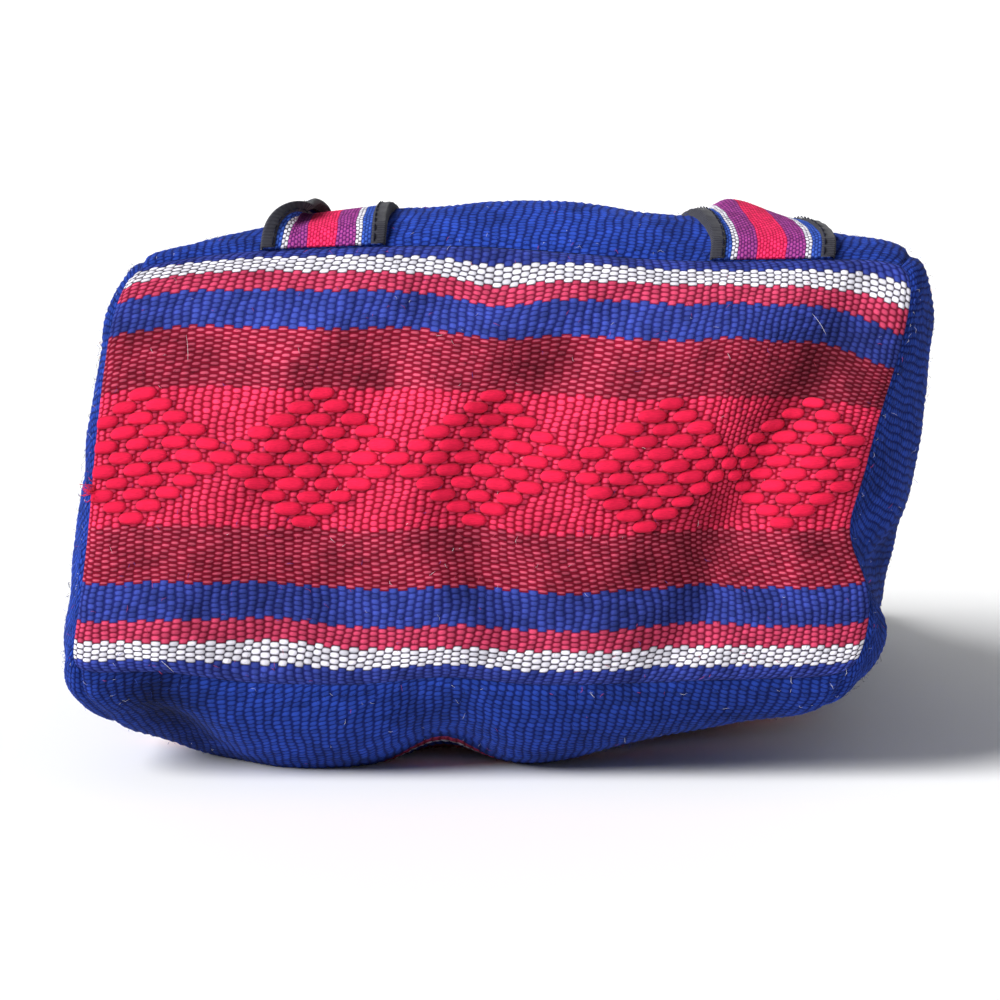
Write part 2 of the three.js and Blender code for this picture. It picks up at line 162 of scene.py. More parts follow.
# How much the weave stands out on a strap, over what length it calms down, and how many warps its edge takes
STRAP_RELIEF = 0.5
STRAP_CALM = 5.0
STRAP_EDGE = 1.5
# The tape: cover, wall and clearance; bulge of its fold outside and inside; its bevel, bumps and warps;
# and the steps around its fold in degrees
BINDING_COVER = 4.0
BINDING_WALL = 0.7
BINDING_CLEAR = 0.15
TAPE_BULGE = 0.9
TAPE_HOLLOW = 0.2
TAPE_BEVEL = (1, 0.3)
TAPE_BUMPS = [(0.9, 0.7, 0, 0.05)]
TAPE_WARP = 0.8
TAPE_TURN = 22.5
# Route of a strap out of the top seam, over the back and to the mouth: along, lift
STRAP_ROUTE = [
    (0.8, -0.8), (2.2, 0.4), (6, 1.8), (12, 2), (26, 2), (50, 2.2), (80, 2.6), (140, 3.2), (200, 3.8),
    (224, 5.6), (234, 11.5), (224, 17.5), (200, 15.5), (170, 11.8), (145, 11.8), (130, 15.5), (123, 22),
    (131, 28), (150, 27), (185, 23), (225, 23.5), (258, 24), (271, 15.5), (280, 6.5), (288, 4), (297, 3.9),
]

# The weave: warp and row spacing, and how high its beads stand, at least and with luck
WARP = 2.9
BODY_ROW = 0.94
RELIEF = 0.4
BEAD_POWER = 2.7
BEAD_LEAST = 0.8
BEAD_LUCK = 0.4
# Drift of the warps and rows, so that the beads aren't all alike: waves over warps and rows, phase, size
WARP_DRIFT = [(0.37, 0.21, 1, 0.09), (0.83, -0.47, 2, 0.09)]
ROW_DRIFT = [(0.61, 0.13, 0, 0.18), (0.23, -0.39, 4, 0.18)]
HASH = (12.9898, 78.233, 43758.5453)
# Points of the meshes: samples to a warp and steps in rows, fine near the base seam of the body, and every
# how many rows and columns the inside has a point
BASE_SAMPLES = 4
BASE_STEP = 0.71
BODY_SAMPLES = 2
FINE_ROWS = 48
FINE_STEP = 0.75
PLAIN_STEP = 1.5
COARSE_ROWS = 12
BASE_COARSE = 16
BODY_COARSE = 6
# Samples of the curves that are measured: the base seam, around and along a panel, a strap's edge, the hem
SEAM_SAMPLES = 801
LOOP_SAMPLES = 400
REACH_SAMPLES = 600
ROUTE_SAMPLES = 900
HEM_SAMPLES = 1200
# Steps by which slopes are taken: at the base seam, under the straps, under loose fibres and under floats
SEAM_STEP = 0.002
STRAP_SLOPE = 0.004
FIBRE_SLOPE = 0.003
FLOAT_SLOPE = 0.4
# The reach at which the warps of the body are even
EVEN_REACH = 0.15
# Hem: steps around its turn, in degrees, and along its inside
HEM_TURN = 30
HEM_STEP = 2

# Yarns: sRGB colours of the beads and of the ground between them, fill and width (shares of two rows and
# of a warp that a bead takes up) and soil (how dark its blotches are)
YARN_ROWS = {
    "blue": ((54, 69, 152), (29, 36, 104), 0.93, 0.86, 0.4),
    "deep blue": ((37, 65, 157), (16, 31, 97), 0.93, 0.86, 0.4),
    "bright red": ((230, 58, 96), (146, 8, 36), 0.9, 0.87, 0.16),
    "red": ((200, 67, 101), (118, 20, 46), 0.86, 0.9, 0.2),
    "dark red": ((188, 74, 98), (116, 13, 36), 0.52, 0.95, 0.5),
    "white": ((230, 228, 239), (64, 58, 70), 0.86, 1.08, 0.1),
    "purple": ((160, 66, 140), (92, 28, 98), 0.85, 0.95, 0.1),
    "strap red": ((238, 52, 104), (190, 20, 66), 0.85, 0.95, 0.1),
    "strap blue": ((58, 92, 184), (30, 50, 126), 0.85, 0.95, 0.1),
}
# Stripes of the base cloth from its lower seam up: yarn, rows, spacing of the rows
BASE_BAND = [("white", 7, 0.98), ("red", 8, 0.92), ("blue", 14, 0.95), ("dark red", 21, 0.95)]
BASE_STRIPES = [
    ("blue", 8, 0.9), *BASE_BAND, ("bright red", 50, 0.916), *BASE_BAND[::-1], ("blue", 6, 0.9)
]
BROCADE_STRIPE = len(BASE_BAND) + 1
# Stripes of the front panel from the base seam on, and of a strap across its width: yarn, rows
FRONT_BAND = [("red", 7), ("white", 5), ("deep blue", 11), ("dark red", 17)]
FRONT_STRIPES = [
    ("deep blue", 53), *FRONT_BAND, ("bright red", 28), *FRONT_BAND[::-1], ("deep blue", 230)
]
BLUE_STRIPES = [("deep blue", 360)]
STRAP_BAND = [("strap blue", 6), ("white", 2), ("purple", 6)]
STRAP_STRIPES = [*STRAP_BAND, ("strap red", 9), *STRAP_BAND[::-1]]
# How many rows the stripes of the front lag at its corners, and the power by which they do
FRONT_SKEW = 48.0
SKEW_POWER = 1.3

# Brocade: floats four warps apart, in rows of their own, that make five diamonds
FLOAT_PITCH = 4.0
FLOAT_ROWS = 11
FLOAT_STEP = BASE_STRIPES[BROCADE_STRIPE][1] / FLOAT_ROWS
DIAMOND_WARP = 5.6
DIAMOND_PITCHES = 5
FLOAT_STEPS = range(-6, 52)
FLOAT_EDGE = 0.9
# A float: half its width in warps and height in rows, how it narrows and rises, and how far it sinks in
FLOAT_HALF = 1.6
FLOAT_TALL = 2.5
FLOAT_RISE = 1.3
FLOAT_LIFT = 0.1
FLOAT_SINK = 0.5
FLOAT_WAIST = (2.8, 0.5)
FLOAT_DOME = (3.2, 0.6)
FLOAT_GRID = (13, 8)
FLOAT_CLEAR = 0.3
# How much the floats differ in size, place and tilt
FLOAT_SIZES = 0.05
FLOAT_SHIFT = 0.12
FLOAT_TILT = 0.1
# Painted shadow on the ground in the gaps between floats: how dark it is, how many rows lower than the floats
# it lies, how much larger than a float it is, its roundness, and where it starts and how softly it fades
FLOAT_SHADE = 0.65
FLOAT_SHADE_DROP = 0.5
FLOAT_SHADE_MORE = (0.1, 0.3)
FLOAT_SHADE_POWER = 2.5
FLOAT_SHADE_START = 1.3
FLOAT_SHADE_SOFT = 0.6

# Loose fibres: sizes, and sRGB colours of the lint with their shares
STRAND_STEPS = 5
STRAND_SIDES = 3
STRAND_TILT = np.array([0.31, 0.52, 0.79])
STRAND_TAPER = (0.5, 3)
LINT_STEPS = 3
BASE_LINT = 700
BODY_LINT = 3800
LINT_LENGTH = (1.0, 2.8)
LINT_RADIUS = (0.035, 0.08)
LINT_COLOURS = [(14, 15, 26), (44, 70, 160), (190, 60, 86), (206, 206, 214)]
BASE_LINT_SHARES = [0.4, 0.12, 0.4, 0.08]
BODY_LINT_SHARES = [0.56, 0.36, 0.02, 0.06]
# How far lint lies over the smooth surface and how steeply it may stand; its bow at random and outwards
LINT_LIFT = 0.3
LINT_TILT = 0.9
LINT_BOW = (0.12, 0.15)
# Where it lies: on how much of the base; on the body from where, how far, and how it thins out
BASE_LINT_SPREAD = (0.985, 0.98)
BODY_LINT_SPREAD = (0.004, 0.99, 3.5)
# Long pale hairs: across and up on the base panel, run across and up in millimetres
HAIRS = [
    (-0.79, 0.6, 0.6, -9.5), (0.75, 0.73, 4.0, -8.0), (-0.76, -0.9, 4.5, -4.0), (0.1, 0.07, 1.0, 0.8),
    (0.4, 0.15, 1.0, -0.6),
]
HAIR_LIFT = 0.7
HAIR_BOW = (0.3, 0.4)
HAIR_RADIUS = 0.06
HAIR_COLOUR = (220, 218, 222)
# The tuft: its place across and up, its strands, how its roots scatter, its way, and length of the strands
TUFT_PLACE = (-0.985, -0.07)
TUFT_STRANDS = 22
TUFT_SCATTER = (0.4, 0.8, 1.6)
TUFT_WAY = (-1.2, -0.3, 0.1)
TUFT_SPREAD = 0.5
TUFT_LENGTH = (2.5, 5.0)
TUFT_RADIUS = 0.16
TUFT_COLOUR = (214, 40, 70)
# Stitches: length, pitch, first place and radius; lift at the ends and in the middle, and a step out of
# the tape that gives its direction; lines on the hem
STITCH = 3.2
STITCH_PITCH = 4.2
STITCH_START = 0.5
STITCH_RADIUS = 0.3
STITCH_LIFT = (0.1, 0.45)
STITCH_PROBE = 0.2
STITCH_COLOUR = (24, 26, 44)
HEM_STITCH_LINES = (3.0, 15.0)

# Looks of the cloth. Noises are scale and detail; lights are slope and level, by which they darken the yarn
STREAK_STRETCH = (0.7, 3.0)
STREAK_NOISE = (1.6, 4.0)
PATCH_NOISE = (28.0, 2.0)
BLOTCH_NOISE = (55.0, 6.0)
BLOTCH_RANGE = (0.42, 0.75)
STREAK_LIGHT = (0.5, 0.75)
LUCK_LIGHT = (0.44, 0.78)
PATCH_LIGHT = (0.5, 0.75)
SHADE_LIGHT = (-0.62, 1.0)
# Edge of a bead: how ragged it is, and where the ground and the yarn are bare
BEAD_RAGGED = 1.2
BEAD_RANGE = (1.35, 0.1)
STREAK_HEIGHT = 0.3
# Depth of the bump in metres, roughness and sheen
CLOTH_FINISH = (0.0003, 0.92, 0.02)
# Looks of the brocade yarn, with painted shade along the long edges of each float
FLOAT_COLOUR = (228, 32, 72)
FLOAT_STRETCH = (1.1, 4.5)
FLOAT_NOISE = (2.2, 5.0)
FLOAT_STREAK_LIGHT = (0.7, 0.62)
FLOAT_LUCK_LIGHT = (0.16, 0.92)
FLOAT_EDGE_SHADE = (-0.35, 1.0)
FLOAT_EDGE_POWER = 3.0
FLOAT_FINISH = (0.0005, 0.95, 0.02)
# Looks of the tape
TAPE_COLOUR = (48, 48, 56)
TAPE_NOISE = (900.0, 3.0)
TAPE_LIGHT = (0.8, 0.6)
TAPE_RIB = 0.1
TAPE_RIB_PHASE = 6.283
TAPE_FINISH = (0.0001, 0.9, 0.15)

# Floor, light and camera, in metres and degrees
FLOOR_WIDTH = 16.0
FLOOR_NEAR = -8.0
FLOOR_FAR = 4.0
SWEEP = 2.0
SWEEP_STEP = 7.5
SWEEP_EASE = 0.2
WALL_TOP = 4.0
FLOOR_NOISE = (6.0, 2.0)
FLOOR_LIGHT = (0.02, 0.91)
KEY_WAY = (-0.72, -0.45, 0.53)
KEY_STRENGTH = 5.2
KEY_SOFTNESS = 34.0
SKY_COLOUR = (0.97, 0.98, 1.0, 1)
SKY_STRENGTH = 0.25
CAMERA_ELEVATION = 8.0
CAMERA_DISTANCE = 1.2
CAMERA_TARGET = np.array([-0.00004, -0.1607, 0.101])
FOCAL_PIXELS = 3516.0
IMAGE_PIXELS = 1000.0
SENSOR = 36.0


def linear(colour):
    """Linear colour from sRGB values of 0 to 255."""
    values = np.array(colour) / 255
    return (*np.where(values < 0.04045, values / 12.92, ((values + 0.055) / 1.055) ** 2.4), 1.0)


YARNS = {
    yarn: dict(colour=linear(bead), ground=linear(gap), fill=fill, width=width, form=(fill, width, soil, 1))
    for yarn, (bead, gap, fill, width, soil) in YARN_ROWS.items()
}


# Shape of the bag

def bell(x):
    return np.exp(-x * x)


def waves(table, p, q):
    """Sum of small waves that cross each other."""
    return sum(size * np.sin(along_p * p + along_q * q + phase) for along_p, along_q, phase, size in table)


def patches(table, p, q):
    """Sum of soft patches, each with a middle, a depth and two sizes."""
    total = np.zeros(np.broadcast_shapes(p.shape, q.shape))
    for at_p, at_q, depth, wide, tall in table:
        total += depth * bell((p - at_p) / wide) * bell((q - at_q) / tall)
    return total


def section(column, reach):
    """Smooth value of one column of the sections at any reach."""
    places, values = SECTIONS["reach"], SECTIONS[column]
    last = len(values) - 1
    before = np.maximum(np.arange(last + 1) - 1, 0)
    after = np.minimum(np.arange(last + 1) + 1, last)
    slope = (values[after] - values[before]) / (places[after] - places[before])
    row = np.clip(np.searchsorted(places, reach) - 1, 0, last - 1)
    span = places[row + 1] - places[row]
    t = (reach - places[row]) / span
    rise = values[row + 1] - values[row]
    start_bend = slope[row] * span - rise
    end_bend = rise - slope[row + 1] * span
    return values[row] + t * rise + t * (1 - t) * ((1 - t) * start_bend + t * end_bend)


def dent_depth(loop, reach):
    total = np.zeros_like(loop)
    for dent_loop, dent_reach, depth, wide, long in DENTS:
        apart = np.abs(loop - dent_loop) % 4
        apart = np.minimum(apart, 4 - apart)
        total += depth * bell(apart / wide) * bell((reach - dent_reach) / long)
    return total


def oval(loop, top_power, belly_power):
    """Unit superellipse at a loop position, as across and up between -1 and 1."""
    side = np.floor(loop).astype(int) % 4
    s = 2 * (loop - np.floor(loop)) - 1
    top_corner, belly_corner = 2 ** (-1 / top_power), 2 ** (-1 / belly_power)

    def other(value, power):
        return np.maximum(1 - np.abs(value) ** power, 0) ** (1 / power)

    height = np.where(side == 1, -s, s)
    side_up = height * np.where(height > 0, top_corner, belly_corner)
    side_across = other(side_up, np.where(height > 0, top_power, belly_power))
    sides = [side == 0, side == 2, side == 1]
    across = np.select(sides, [s * top_corner, -s * belly_corner, side_across], -side_across)
    top, belly = other(s * top_corner, top_power), -other(s * belly_corner, belly_power)
    return across, np.select(sides[:2], [top, belly], side_up)


def section_point(loop, reach):
    """Point of a cross-section as x and z."""
    loop = np.mod(loop, 4.0)
    top_power, belly_power = section("top_power", reach), section("belly_power", reach)
    half, top, belly = section("half", reach), section("top", reach), section("belly", reach)
    half_height = (top - belly) / 2
    across, up = oval(loop, top_power, belly_power)
    power = np.where(up > 0, top_power, belly_power)
    out_x = np.sign(across) * np.abs(across) ** (power - 1) / half
    out_z = np.sign(up) * np.abs(up) ** (power - 1) / half_height
    inset = dent_depth(loop, reach) / np.hypot(out_x, out_z)
    rise = half_height * up
    x = section("centre", reach) + half * across + section("lean", reach) * rise - inset * out_x
    z = (top + belly) / 2 + rise - inset * out_z
    return x, np.maximum(z, 0)


def roll_depth(z):
    """How far back the rolled base panel lies at a height."""
    climb = np.clip(z - ROLL_START, 0, ROLL_RADIUS)
    return ROLL_RADIUS - np.sqrt(ROLL_RADIUS**2 - climb**2)


def body_point(loop, reach):
    """Outer surface of the body."""
    loop, reach = np.broadcast_arrays(np.asarray(loop, float), np.asarray(reach, float))
    rim = roll_depth(section_point(loop, np.zeros_like(reach))[1])
    x, z = section_point(loop, reach)
    return np.stack([x, rim * (1 - reach) + FRONT_LENGTH * reach, z], -1)


def body_middle(reach):
    """Points inside the body, from which its surface is outwards."""
    return np.stack([0 * reach, reach * FRONT_LENGTH, section("top", reach) / 2], -1)


def fold_height(across, up):
    total = waves(BASE_CRUMPLES, across, up)
    for middle, lean, bend, height, wide in BASE_FOLDS:
        line = middle + lean * up + bend * up**2
        total += height * bell((across - line) / wide)
    return total * (1 - across**FOLD_FADE) * (1 - up**FOLD_FADE)


def base_point(across, up):
    """Outer surface of the base panel, stretched between its four seams."""
    across, up = np.broadcast_arrays(np.asarray(across, float), np.asarray(up, float))
    u, v = (across + 1) / 2, (up + 1) / 2
    top, right = body_point(u, 0), body_point(2 - v, 0)
    bottom, left = body_point(3 - u, 0), body_point(3 + v, 0)
    corner = [body_point(i, 0) for i in range(4)]
    u, v = u[..., None], v[..., None]
    edges = (1 - v) * bottom + v * top + (1 - u) * left + u * right
    low = (1 - u) * corner[3] + u * corner[2]
    high = (1 - u) * corner[0] + u * corner[1]
    point = edges - (1 - v) * low - v * high
    bulge = BASE_BULGE * (1 - across**2) * (1 - up**2)
    point[..., 1] = roll_depth(point[..., 2]) - bulge - fold_height(across, up)
    return point


# A way out of the base panel, and a point deep behind it
BASE_OUT = np.array([0, -1, 0.2])
BASE_BEHIND = np.array([0, FRONT_LENGTH, 90])


def unit(vectors):
    return vectors / np.linalg.norm(vectors, axis=-1, keepdims=True)


def slopes(surface, p, q, step):
    """Steps along a surface in both of its directions."""
    return surface(p + step, q) - surface(p - step, q), surface(p, q + step) - surface(p, q - step)


def grid_normals(points, outward):
    """Directions square to a grid of points, on the side that outward points to."""
    normals = unit(np.cross(np.gradient(points, axis=1), np.gradient(points, axis=0)))
    return normals if (normals * outward).sum() > 0 else -normals


def arc_from(points, axis=0):
    """Distance along points from the first one, or along a grid from its first row or column."""
    steps = np.linalg.norm(np.diff(points, axis=axis), axis=-1)
    return np.insert(np.cumsum(steps, axis=axis), 0, 0, axis=axis)


def follow(places, run, values):
    """Rows of values, given along a run, at places on it."""
    return np.stack([np.interp(places, run, column) for column in values.T], -1)


# Weave

def chance(a, b):
    """Repeatable number from 0 to 1 for each pair of whole numbers."""
    return np.mod(np.sin(a * HASH[0] + b * HASH[1]) * HASH[2], 1.0)


def rows_of(stripes):
    return sum(stripe[1] for stripe in stripes)


def stripe_values(stripes, row, key):
    """Value that the yarn of each row has."""
    ends = np.cumsum([stripe[1] for stripe in stripes])
    values = np.array([YARNS[stripe[0]][key] for stripe in stripes])
    return values[np.clip(np.searchsorted(ends, row, side="right"), 0, len(stripes) - 1)]


def drifted(u, v):
    return u + waves(WARP_DRIFT, u, v), v + waves(ROW_DRIFT, u, v)


def weave_height(u, v, stripes, by_column=False):
    """Height of the weave: beads in a brick pattern, one to a warp and every second row."""
    u, v = drifted(u, v)
    column = np.round(u)
    odd = np.mod(column, 2)
    row = 2 * np.round((v - odd) / 2) + odd
    stripe = column if by_column else row
    x = np.abs(u - column) / (0.5 * stripe_values(stripes, stripe, "width"))
    y = np.abs(v - row) / stripe_values(stripes, stripe, "fill")
    dome = np.sqrt(np.clip(1 - x**BEAD_POWER - y**BEAD_POWER, 0, 1))
    return RELIEF * dome * (BEAD_LEAST + BEAD_LUCK * chance(column, row))


def weave_marks(u, v, shade=0.0):
    """Warp, row and shade at each point of a grid."""
    return np.stack(np.broadcast_arrays(*drifted(u, v), shade), -1)


# Meshes

def make_object(name, points, faces, weave=None):
    """Object from points in millimetres and arrays of faces with the same number of corners each."""
    mesh = bpy.data.meshes.new(name)
    mesh.from_pydata(((points - ORIGIN) * MM).tolist(), [], [face for f in faces for face in f.tolist()])
    if weave is not None:
        attribute = mesh.attributes.new("weave", "FLOAT_VECTOR", "POINT")
        attribute.data.foreach_set("vector", weave.astype(np.float32).ravel())
    mesh.validate()
    mesh.shade_smooth()
    made = bpy.data.objects.new(name, mesh)
    bpy.context.scene.collection.objects.link(made)
    return made


def closed_object(name, points, faces, weave):
    """Object from a closed mesh, with its faces turned to face out."""
    triangles = [f[:, [0, i, i + 1]] for f in faces for i in range(1, f.shape[1] - 1)]
    a, b, c = np.moveaxis(points[np.concatenate(triangles)], 1, 0)
    if (a * np.cross(b, c)).sum() < 0:
        faces = [f[:, ::-1] for f in faces]
    return make_object(name, points, faces, weave)


def grid_faces(index):
    quads = [index[:-1, :-1], index[:-1, 1:], index[1:, 1:], index[1:, :-1]]
    return np.stack(quads, -1).reshape(-1, 4)


def border(index):
    """Indices around a grid, once round."""
    return np.concatenate([index[0, :-1], index[:-1, -1], index[-1, :0:-1], index[:0:-1, 0]])


def rim_faces(outer, inner, picks):
    """Triangles between a dense border and a coarse one; picks are the places of the coarse points on it."""
    faces = []
    count = len(outer)
    for i, place in enumerate(picks):
        after = picks[(i + 1) % len(picks)]
        steps = (after - place) % count
        here, there = inner[i], inner[(i + 1) % len(picks)]
        middle = steps // 2
        for step in range(steps):
            a, b = outer[(place + step) % count], outer[(place + step + 1) % count]
            faces.append((b, a, here if step < middle else there))
        faces.append((outer[(place + middle) % count], here, there))
    return np.array(faces)


def shell_object(name, outer, inner, weave, coarse_rows, coarse_columns):
    """Closed cloth: a dense outer grid, a coarse inner grid under it and a rim between them."""
    rows, columns = outer.shape[:2]
    outer_index = np.arange(rows * columns).reshape(rows, columns)
    inner_shape = (len(coarse_rows), len(coarse_columns))
    inner_index = rows * columns + np.arange(inner_shape[0] * inner_shape[1]).reshape(inner_shape)
    coarse = np.ix_(coarse_rows, coarse_columns)
    place = np.full((rows, columns), -1)
    ring = border(outer_index)
    place.flat[ring] = np.arange(len(ring))
    rim = rim_faces(ring, border(inner_index), border(place[coarse]))
    faces = [grid_faces(outer_index), grid_faces(inner_index)[:, ::-1], rim]
    points, marks = (
        np.concatenate([dense.reshape(-1, 3), sparse.reshape(-1, 3)])
        for dense, sparse in ((outer, inner), (weave, weave[coarse]))
    )
    return closed_object(name, points, faces, marks)


def tube_object(name, rings, marks):
    """Closed tube from rings of points, with both ends closed."""
    index = np.arange(rings.shape[0] * rings.shape[1]).reshape(rings.shape[:2])
    wrapped = np.concatenate([index, index[:, :1]], axis=1)
    faces = [grid_faces(wrapped), index[:1, ::-1], index[-1:]]
    return closed_object(name, rings.reshape(-1, 3), faces, marks.reshape(-1, 3))


def coarse_picks(count, step):
    """Places of a coarse grid on a dense one, with both ends."""
    return np.linspace(0, count - 1, max(count // step, 2) + 1).round().astype(int)


# Panels

def seam_directions():
    """Direction square to the body and to the base panel at once, for each loop position on the base seam."""
    loops = np.linspace(0, 4, SEAM_SAMPLES)
    seam = body_point(loops, 0)
    around = body_point(loops + SEAM_STEP, 0) - body_point(loops - SEAM_STEP, 0)
    body = unit(np.cross(around, body_point(loops, SEAM_STEP) - seam))
    middle = np.array([0, 0, ROLL_START])
    body = np.where(((seam - middle) * body).sum(-1, keepdims=True) < 0, -body, body)
    slope = np.clip(seam[:, 2] - ROLL_START, 0, ROLL_RADIUS) / ROLL_RADIUS
    base = np.stack([np.zeros_like(slope), -np.sqrt(1 - slope**2), slope], -1)
    return loops, unit(body + base)


SEAM_LOOPS, SEAM_MITRES = seam_directions()


def seam_mitre(loop):
    return follow(np.mod(loop, 4.0), SEAM_LOOPS, SEAM_MITRES)


# How the rows of the base cloth lie: where each stripe ends, in rows and along the cloth, and how far the
# cloth goes straight up and in all
BASE_EDGES, BASE_RUNS = (
    np.concatenate([[0], np.cumsum(steps)])
    for steps in zip(*((rows, rows * pitch) for _, rows, pitch in BASE_STRIPES))
)
BASE_LOW, BASE_HIGH = SECTIONS["belly"][0], SECTIONS["top"][0]
BASE_STRAIGHT = ROLL_START - BASE_LOW
BASE_RUN = BASE_STRAIGHT + ROLL_RADIUS * math.asin((BASE_HIGH - ROLL_START) / ROLL_RADIUS)


def base_lift(run):
    """Up on the base panel after a run along its cloth."""
    rolled = ROLL_START + ROLL_RADIUS * np.sin(np.clip(run - BASE_STRAIGHT, 0, None) / ROLL_RADIUS)
    z = np.where(run < BASE_STRAIGHT, BASE_LOW + run, rolled)
    return np.clip(2 * (z - BASE_LOW) / (BASE_HIGH - BASE_LOW) - 1, -1, 1)


def base_place(warp, row):
    """Across and up at a warp and row of the base cloth."""
    run = np.interp(row, BASE_EDGES, BASE_RUNS) * BASE_RUN / BASE_RUNS[-1]
    warp, run = np.broadcast_arrays(warp, run)
    up = base_lift(run)
    across = np.interp(warp, BASE_WARPS, BASE_ACROSS)
    crowded = np.interp(warp, CROWDED_WARPS, CROWDED_ACROSS)
    across = across + (crowded - across) * bell(up / CROWDED_TALL)
    return across, base_lift(run + patches(BASE_WAVES, across, up) * (1 - up**WAVE_FADE))


def base_surface(warp, row):
    return base_point(*base_place(warp, row))


def base_cloth():
    """The base panel, woven in stripes."""
    rows, warps = rows_of(BASE_STRIPES), BASE_WARPS[-1]
    columns = np.linspace(0, warps, int(round(warps * BASE_SAMPLES)) + 1)
    lines = np.linspace(0, rows, int(round(rows / BASE_STEP)) + 1)
    u, v = columns[None], lines[:, None]
    smooth = base_surface(u, v)
    across, up = base_place(u, v)
    loops = np.stack([2 - (up + 1) / 2, 3 + (up + 1) / 2, (across + 1) / 2, 3 - (across + 1) / 2])
    distances = np.stack([
        arc_from(smooth[:, ::-1], 1)[:, ::-1],
        arc_from(smooth, 1),
        arc_from(smooth[::-1])[::-1],
        arc_from(smooth),
    ])
    loop = np.take_along_axis(loops, distances.argmin(0)[None], 0)[0]
    distance = distances.min(0)
    pull = SEAM_PULL * bell(distance / SEAM_REACH)
    height = weave_height(u, v, BASE_STRIPES) * np.clip(distance / SEAM_REACH, 0, 1)
    outer = smooth + grid_normals(smooth, BASE_OUT) * height[..., None] - seam_mitre(loop) * pull[..., None]
    coarse_rows = coarse_picks(len(lines), COARSE_ROWS)
    coarse_columns = coarse_picks(len(columns), BASE_COARSE)
    inner_u = np.clip(columns[coarse_columns], INNER_INSET / WARP, warps - INNER_INSET / WARP)
    inner_v = np.clip(lines[coarse_rows], INNER_INSET / BODY_ROW, rows - INNER_INSET / BODY_ROW)
    under = base_surface(inner_u[None], inner_v[:, None])
    inner = under - CLOTH * grid_normals(under, BASE_OUT)
    # The third mark is painted shade: shadow beside the floats, and shade and highlight over the folds
    marks = weave_marks(u, v, float_shade(u, v) + patches(BASE_PAINTED_SHADING, across, up))
    return shell_object("bottom_panel_cloth", outer, inner, marks, coarse_rows, coarse_columns)


def body_cloth(name, side, stripes, skew=0.0):
    """One side of the body, with a hem turned in at the mouth. Its rows lag by skew at its corners."""
    reference = np.linspace(side, side + 1, LOOP_SAMPLES)
    around = arc_from(body_point(reference, EVEN_REACH))
    warps = int(round(around[-1] / WARP))
    u = np.arange(warps * BODY_SAMPLES + 1) / BODY_SAMPLES
    loops = np.interp(u / warps * around[-1], around, reference)
    reaches = np.linspace(0, 1, REACH_SAMPLES)
    along = arc_from(body_point(side + 0.5, reaches))
    rows = along[-1] / BODY_ROW
    fine, plain = np.arange(0, FINE_ROWS, FINE_STEP), np.arange(FINE_ROWS, rows - 1, PLAIN_STEP)
    v = np.concatenate([fine, plain, [rows]])
    reach = np.interp(v * BODY_ROW, along, reaches)
    smooth = body_point(loops[None], reach[:, None])
    normals = grid_normals(smooth, smooth - body_middle(reach)[:, None])

    # The hem: half a turn at the mouth, then back inside
    turns = np.radians(np.arange(HEM_TURN, 181, HEM_TURN))
    sines, cosines = np.sin(turns)[:, None, None], np.cos(turns)[:, None, None]
    ahead, last = unit(smooth[-1] - smooth[-2]), normals[-1]
    turned = smooth[-1] + CLOTH * (sines * ahead - (1 - cosines) * last)
    back = np.arange(HEM_STEP, HEM_WIDTH, HEM_STEP)
    back_rows = np.interp(rows - back / BODY_ROW, v, np.arange(len(v))).round().astype(int)
    hem = smooth[back_rows] - 2 * CLOTH * normals[back_rows]
    hem_v = rows + np.concatenate([CLOTH * turns, CLOTH * np.pi + back]) / BODY_ROW
    points = np.concatenate([smooth, turned, hem])
    directions = np.concatenate([normals, cosines * last + sines * ahead, -normals[back_rows]])
    v = np.concatenate([v, hem_v])

    from_base = arc_from(points)
    sides = np.minimum(arc_from(points, 1), arc_from(points[:, ::-1], 1)[:, ::-1])
    calm = np.clip(np.minimum(from_base, sides) / SEAM_REACH, 0, 1)
    woven = v[:, None] - skew * np.abs(2 * u[None] / warps - 1) ** SKEW_POWER
    height = weave_height(u[None], woven, stripes) * calm
    height[: len(reach)] += waves(BODY_CRUMPLES, loops[None], reach[:, None]) * calm[: len(reach)]
    outer = points + directions * height[..., None]
    near_base = bell(from_base / SEAM_REACH)
    outer -= SEAM_PULL * near_base[..., None] * seam_mitre(loops)[None]
    beside = SEAM_PULL * bell(sides / SEAM_REACH) * (1 - near_base)
    outer -= beside[..., None] * directions
    outer[..., 2] = np.maximum(outer[..., 2], 0)

    # The inside, which starts at the hem's inner edge
    coarse_columns = coarse_picks(len(u), BODY_COARSE)
    coarse_rows = np.append(coarse_picks(back_rows[-1], COARSE_ROWS)[:-1], len(v) - 1)
    inner_rows = np.append(coarse_rows[:-1], back_rows[-1])
    inset = INNER_INSET / around[-1]
    inner_loops = np.clip(loops[coarse_columns], side + inset, side + 1 - inset)
    inner_reach = np.clip(reach[inner_rows], INNER_INSET / FRONT_LENGTH, 1)
    under = body_point(inner_loops[None], inner_reach[:, None])
    inner = under - CLOTH * grid_normals(under, under - body_middle(inner_reach)[:, None])
    hem_reach = np.concatenate([reach, np.ones(len(v) - len(reach))])
    # The third mark is painted shade and painted highlight on the body
    marks = weave_marks(u[None], woven, patches(BODY_PAINTED_SHADING, loops[None], hem_reach[:, None]))
    return shell_object(name, outer, inner, marks, coarse_rows, coarse_columns)


# Brocade

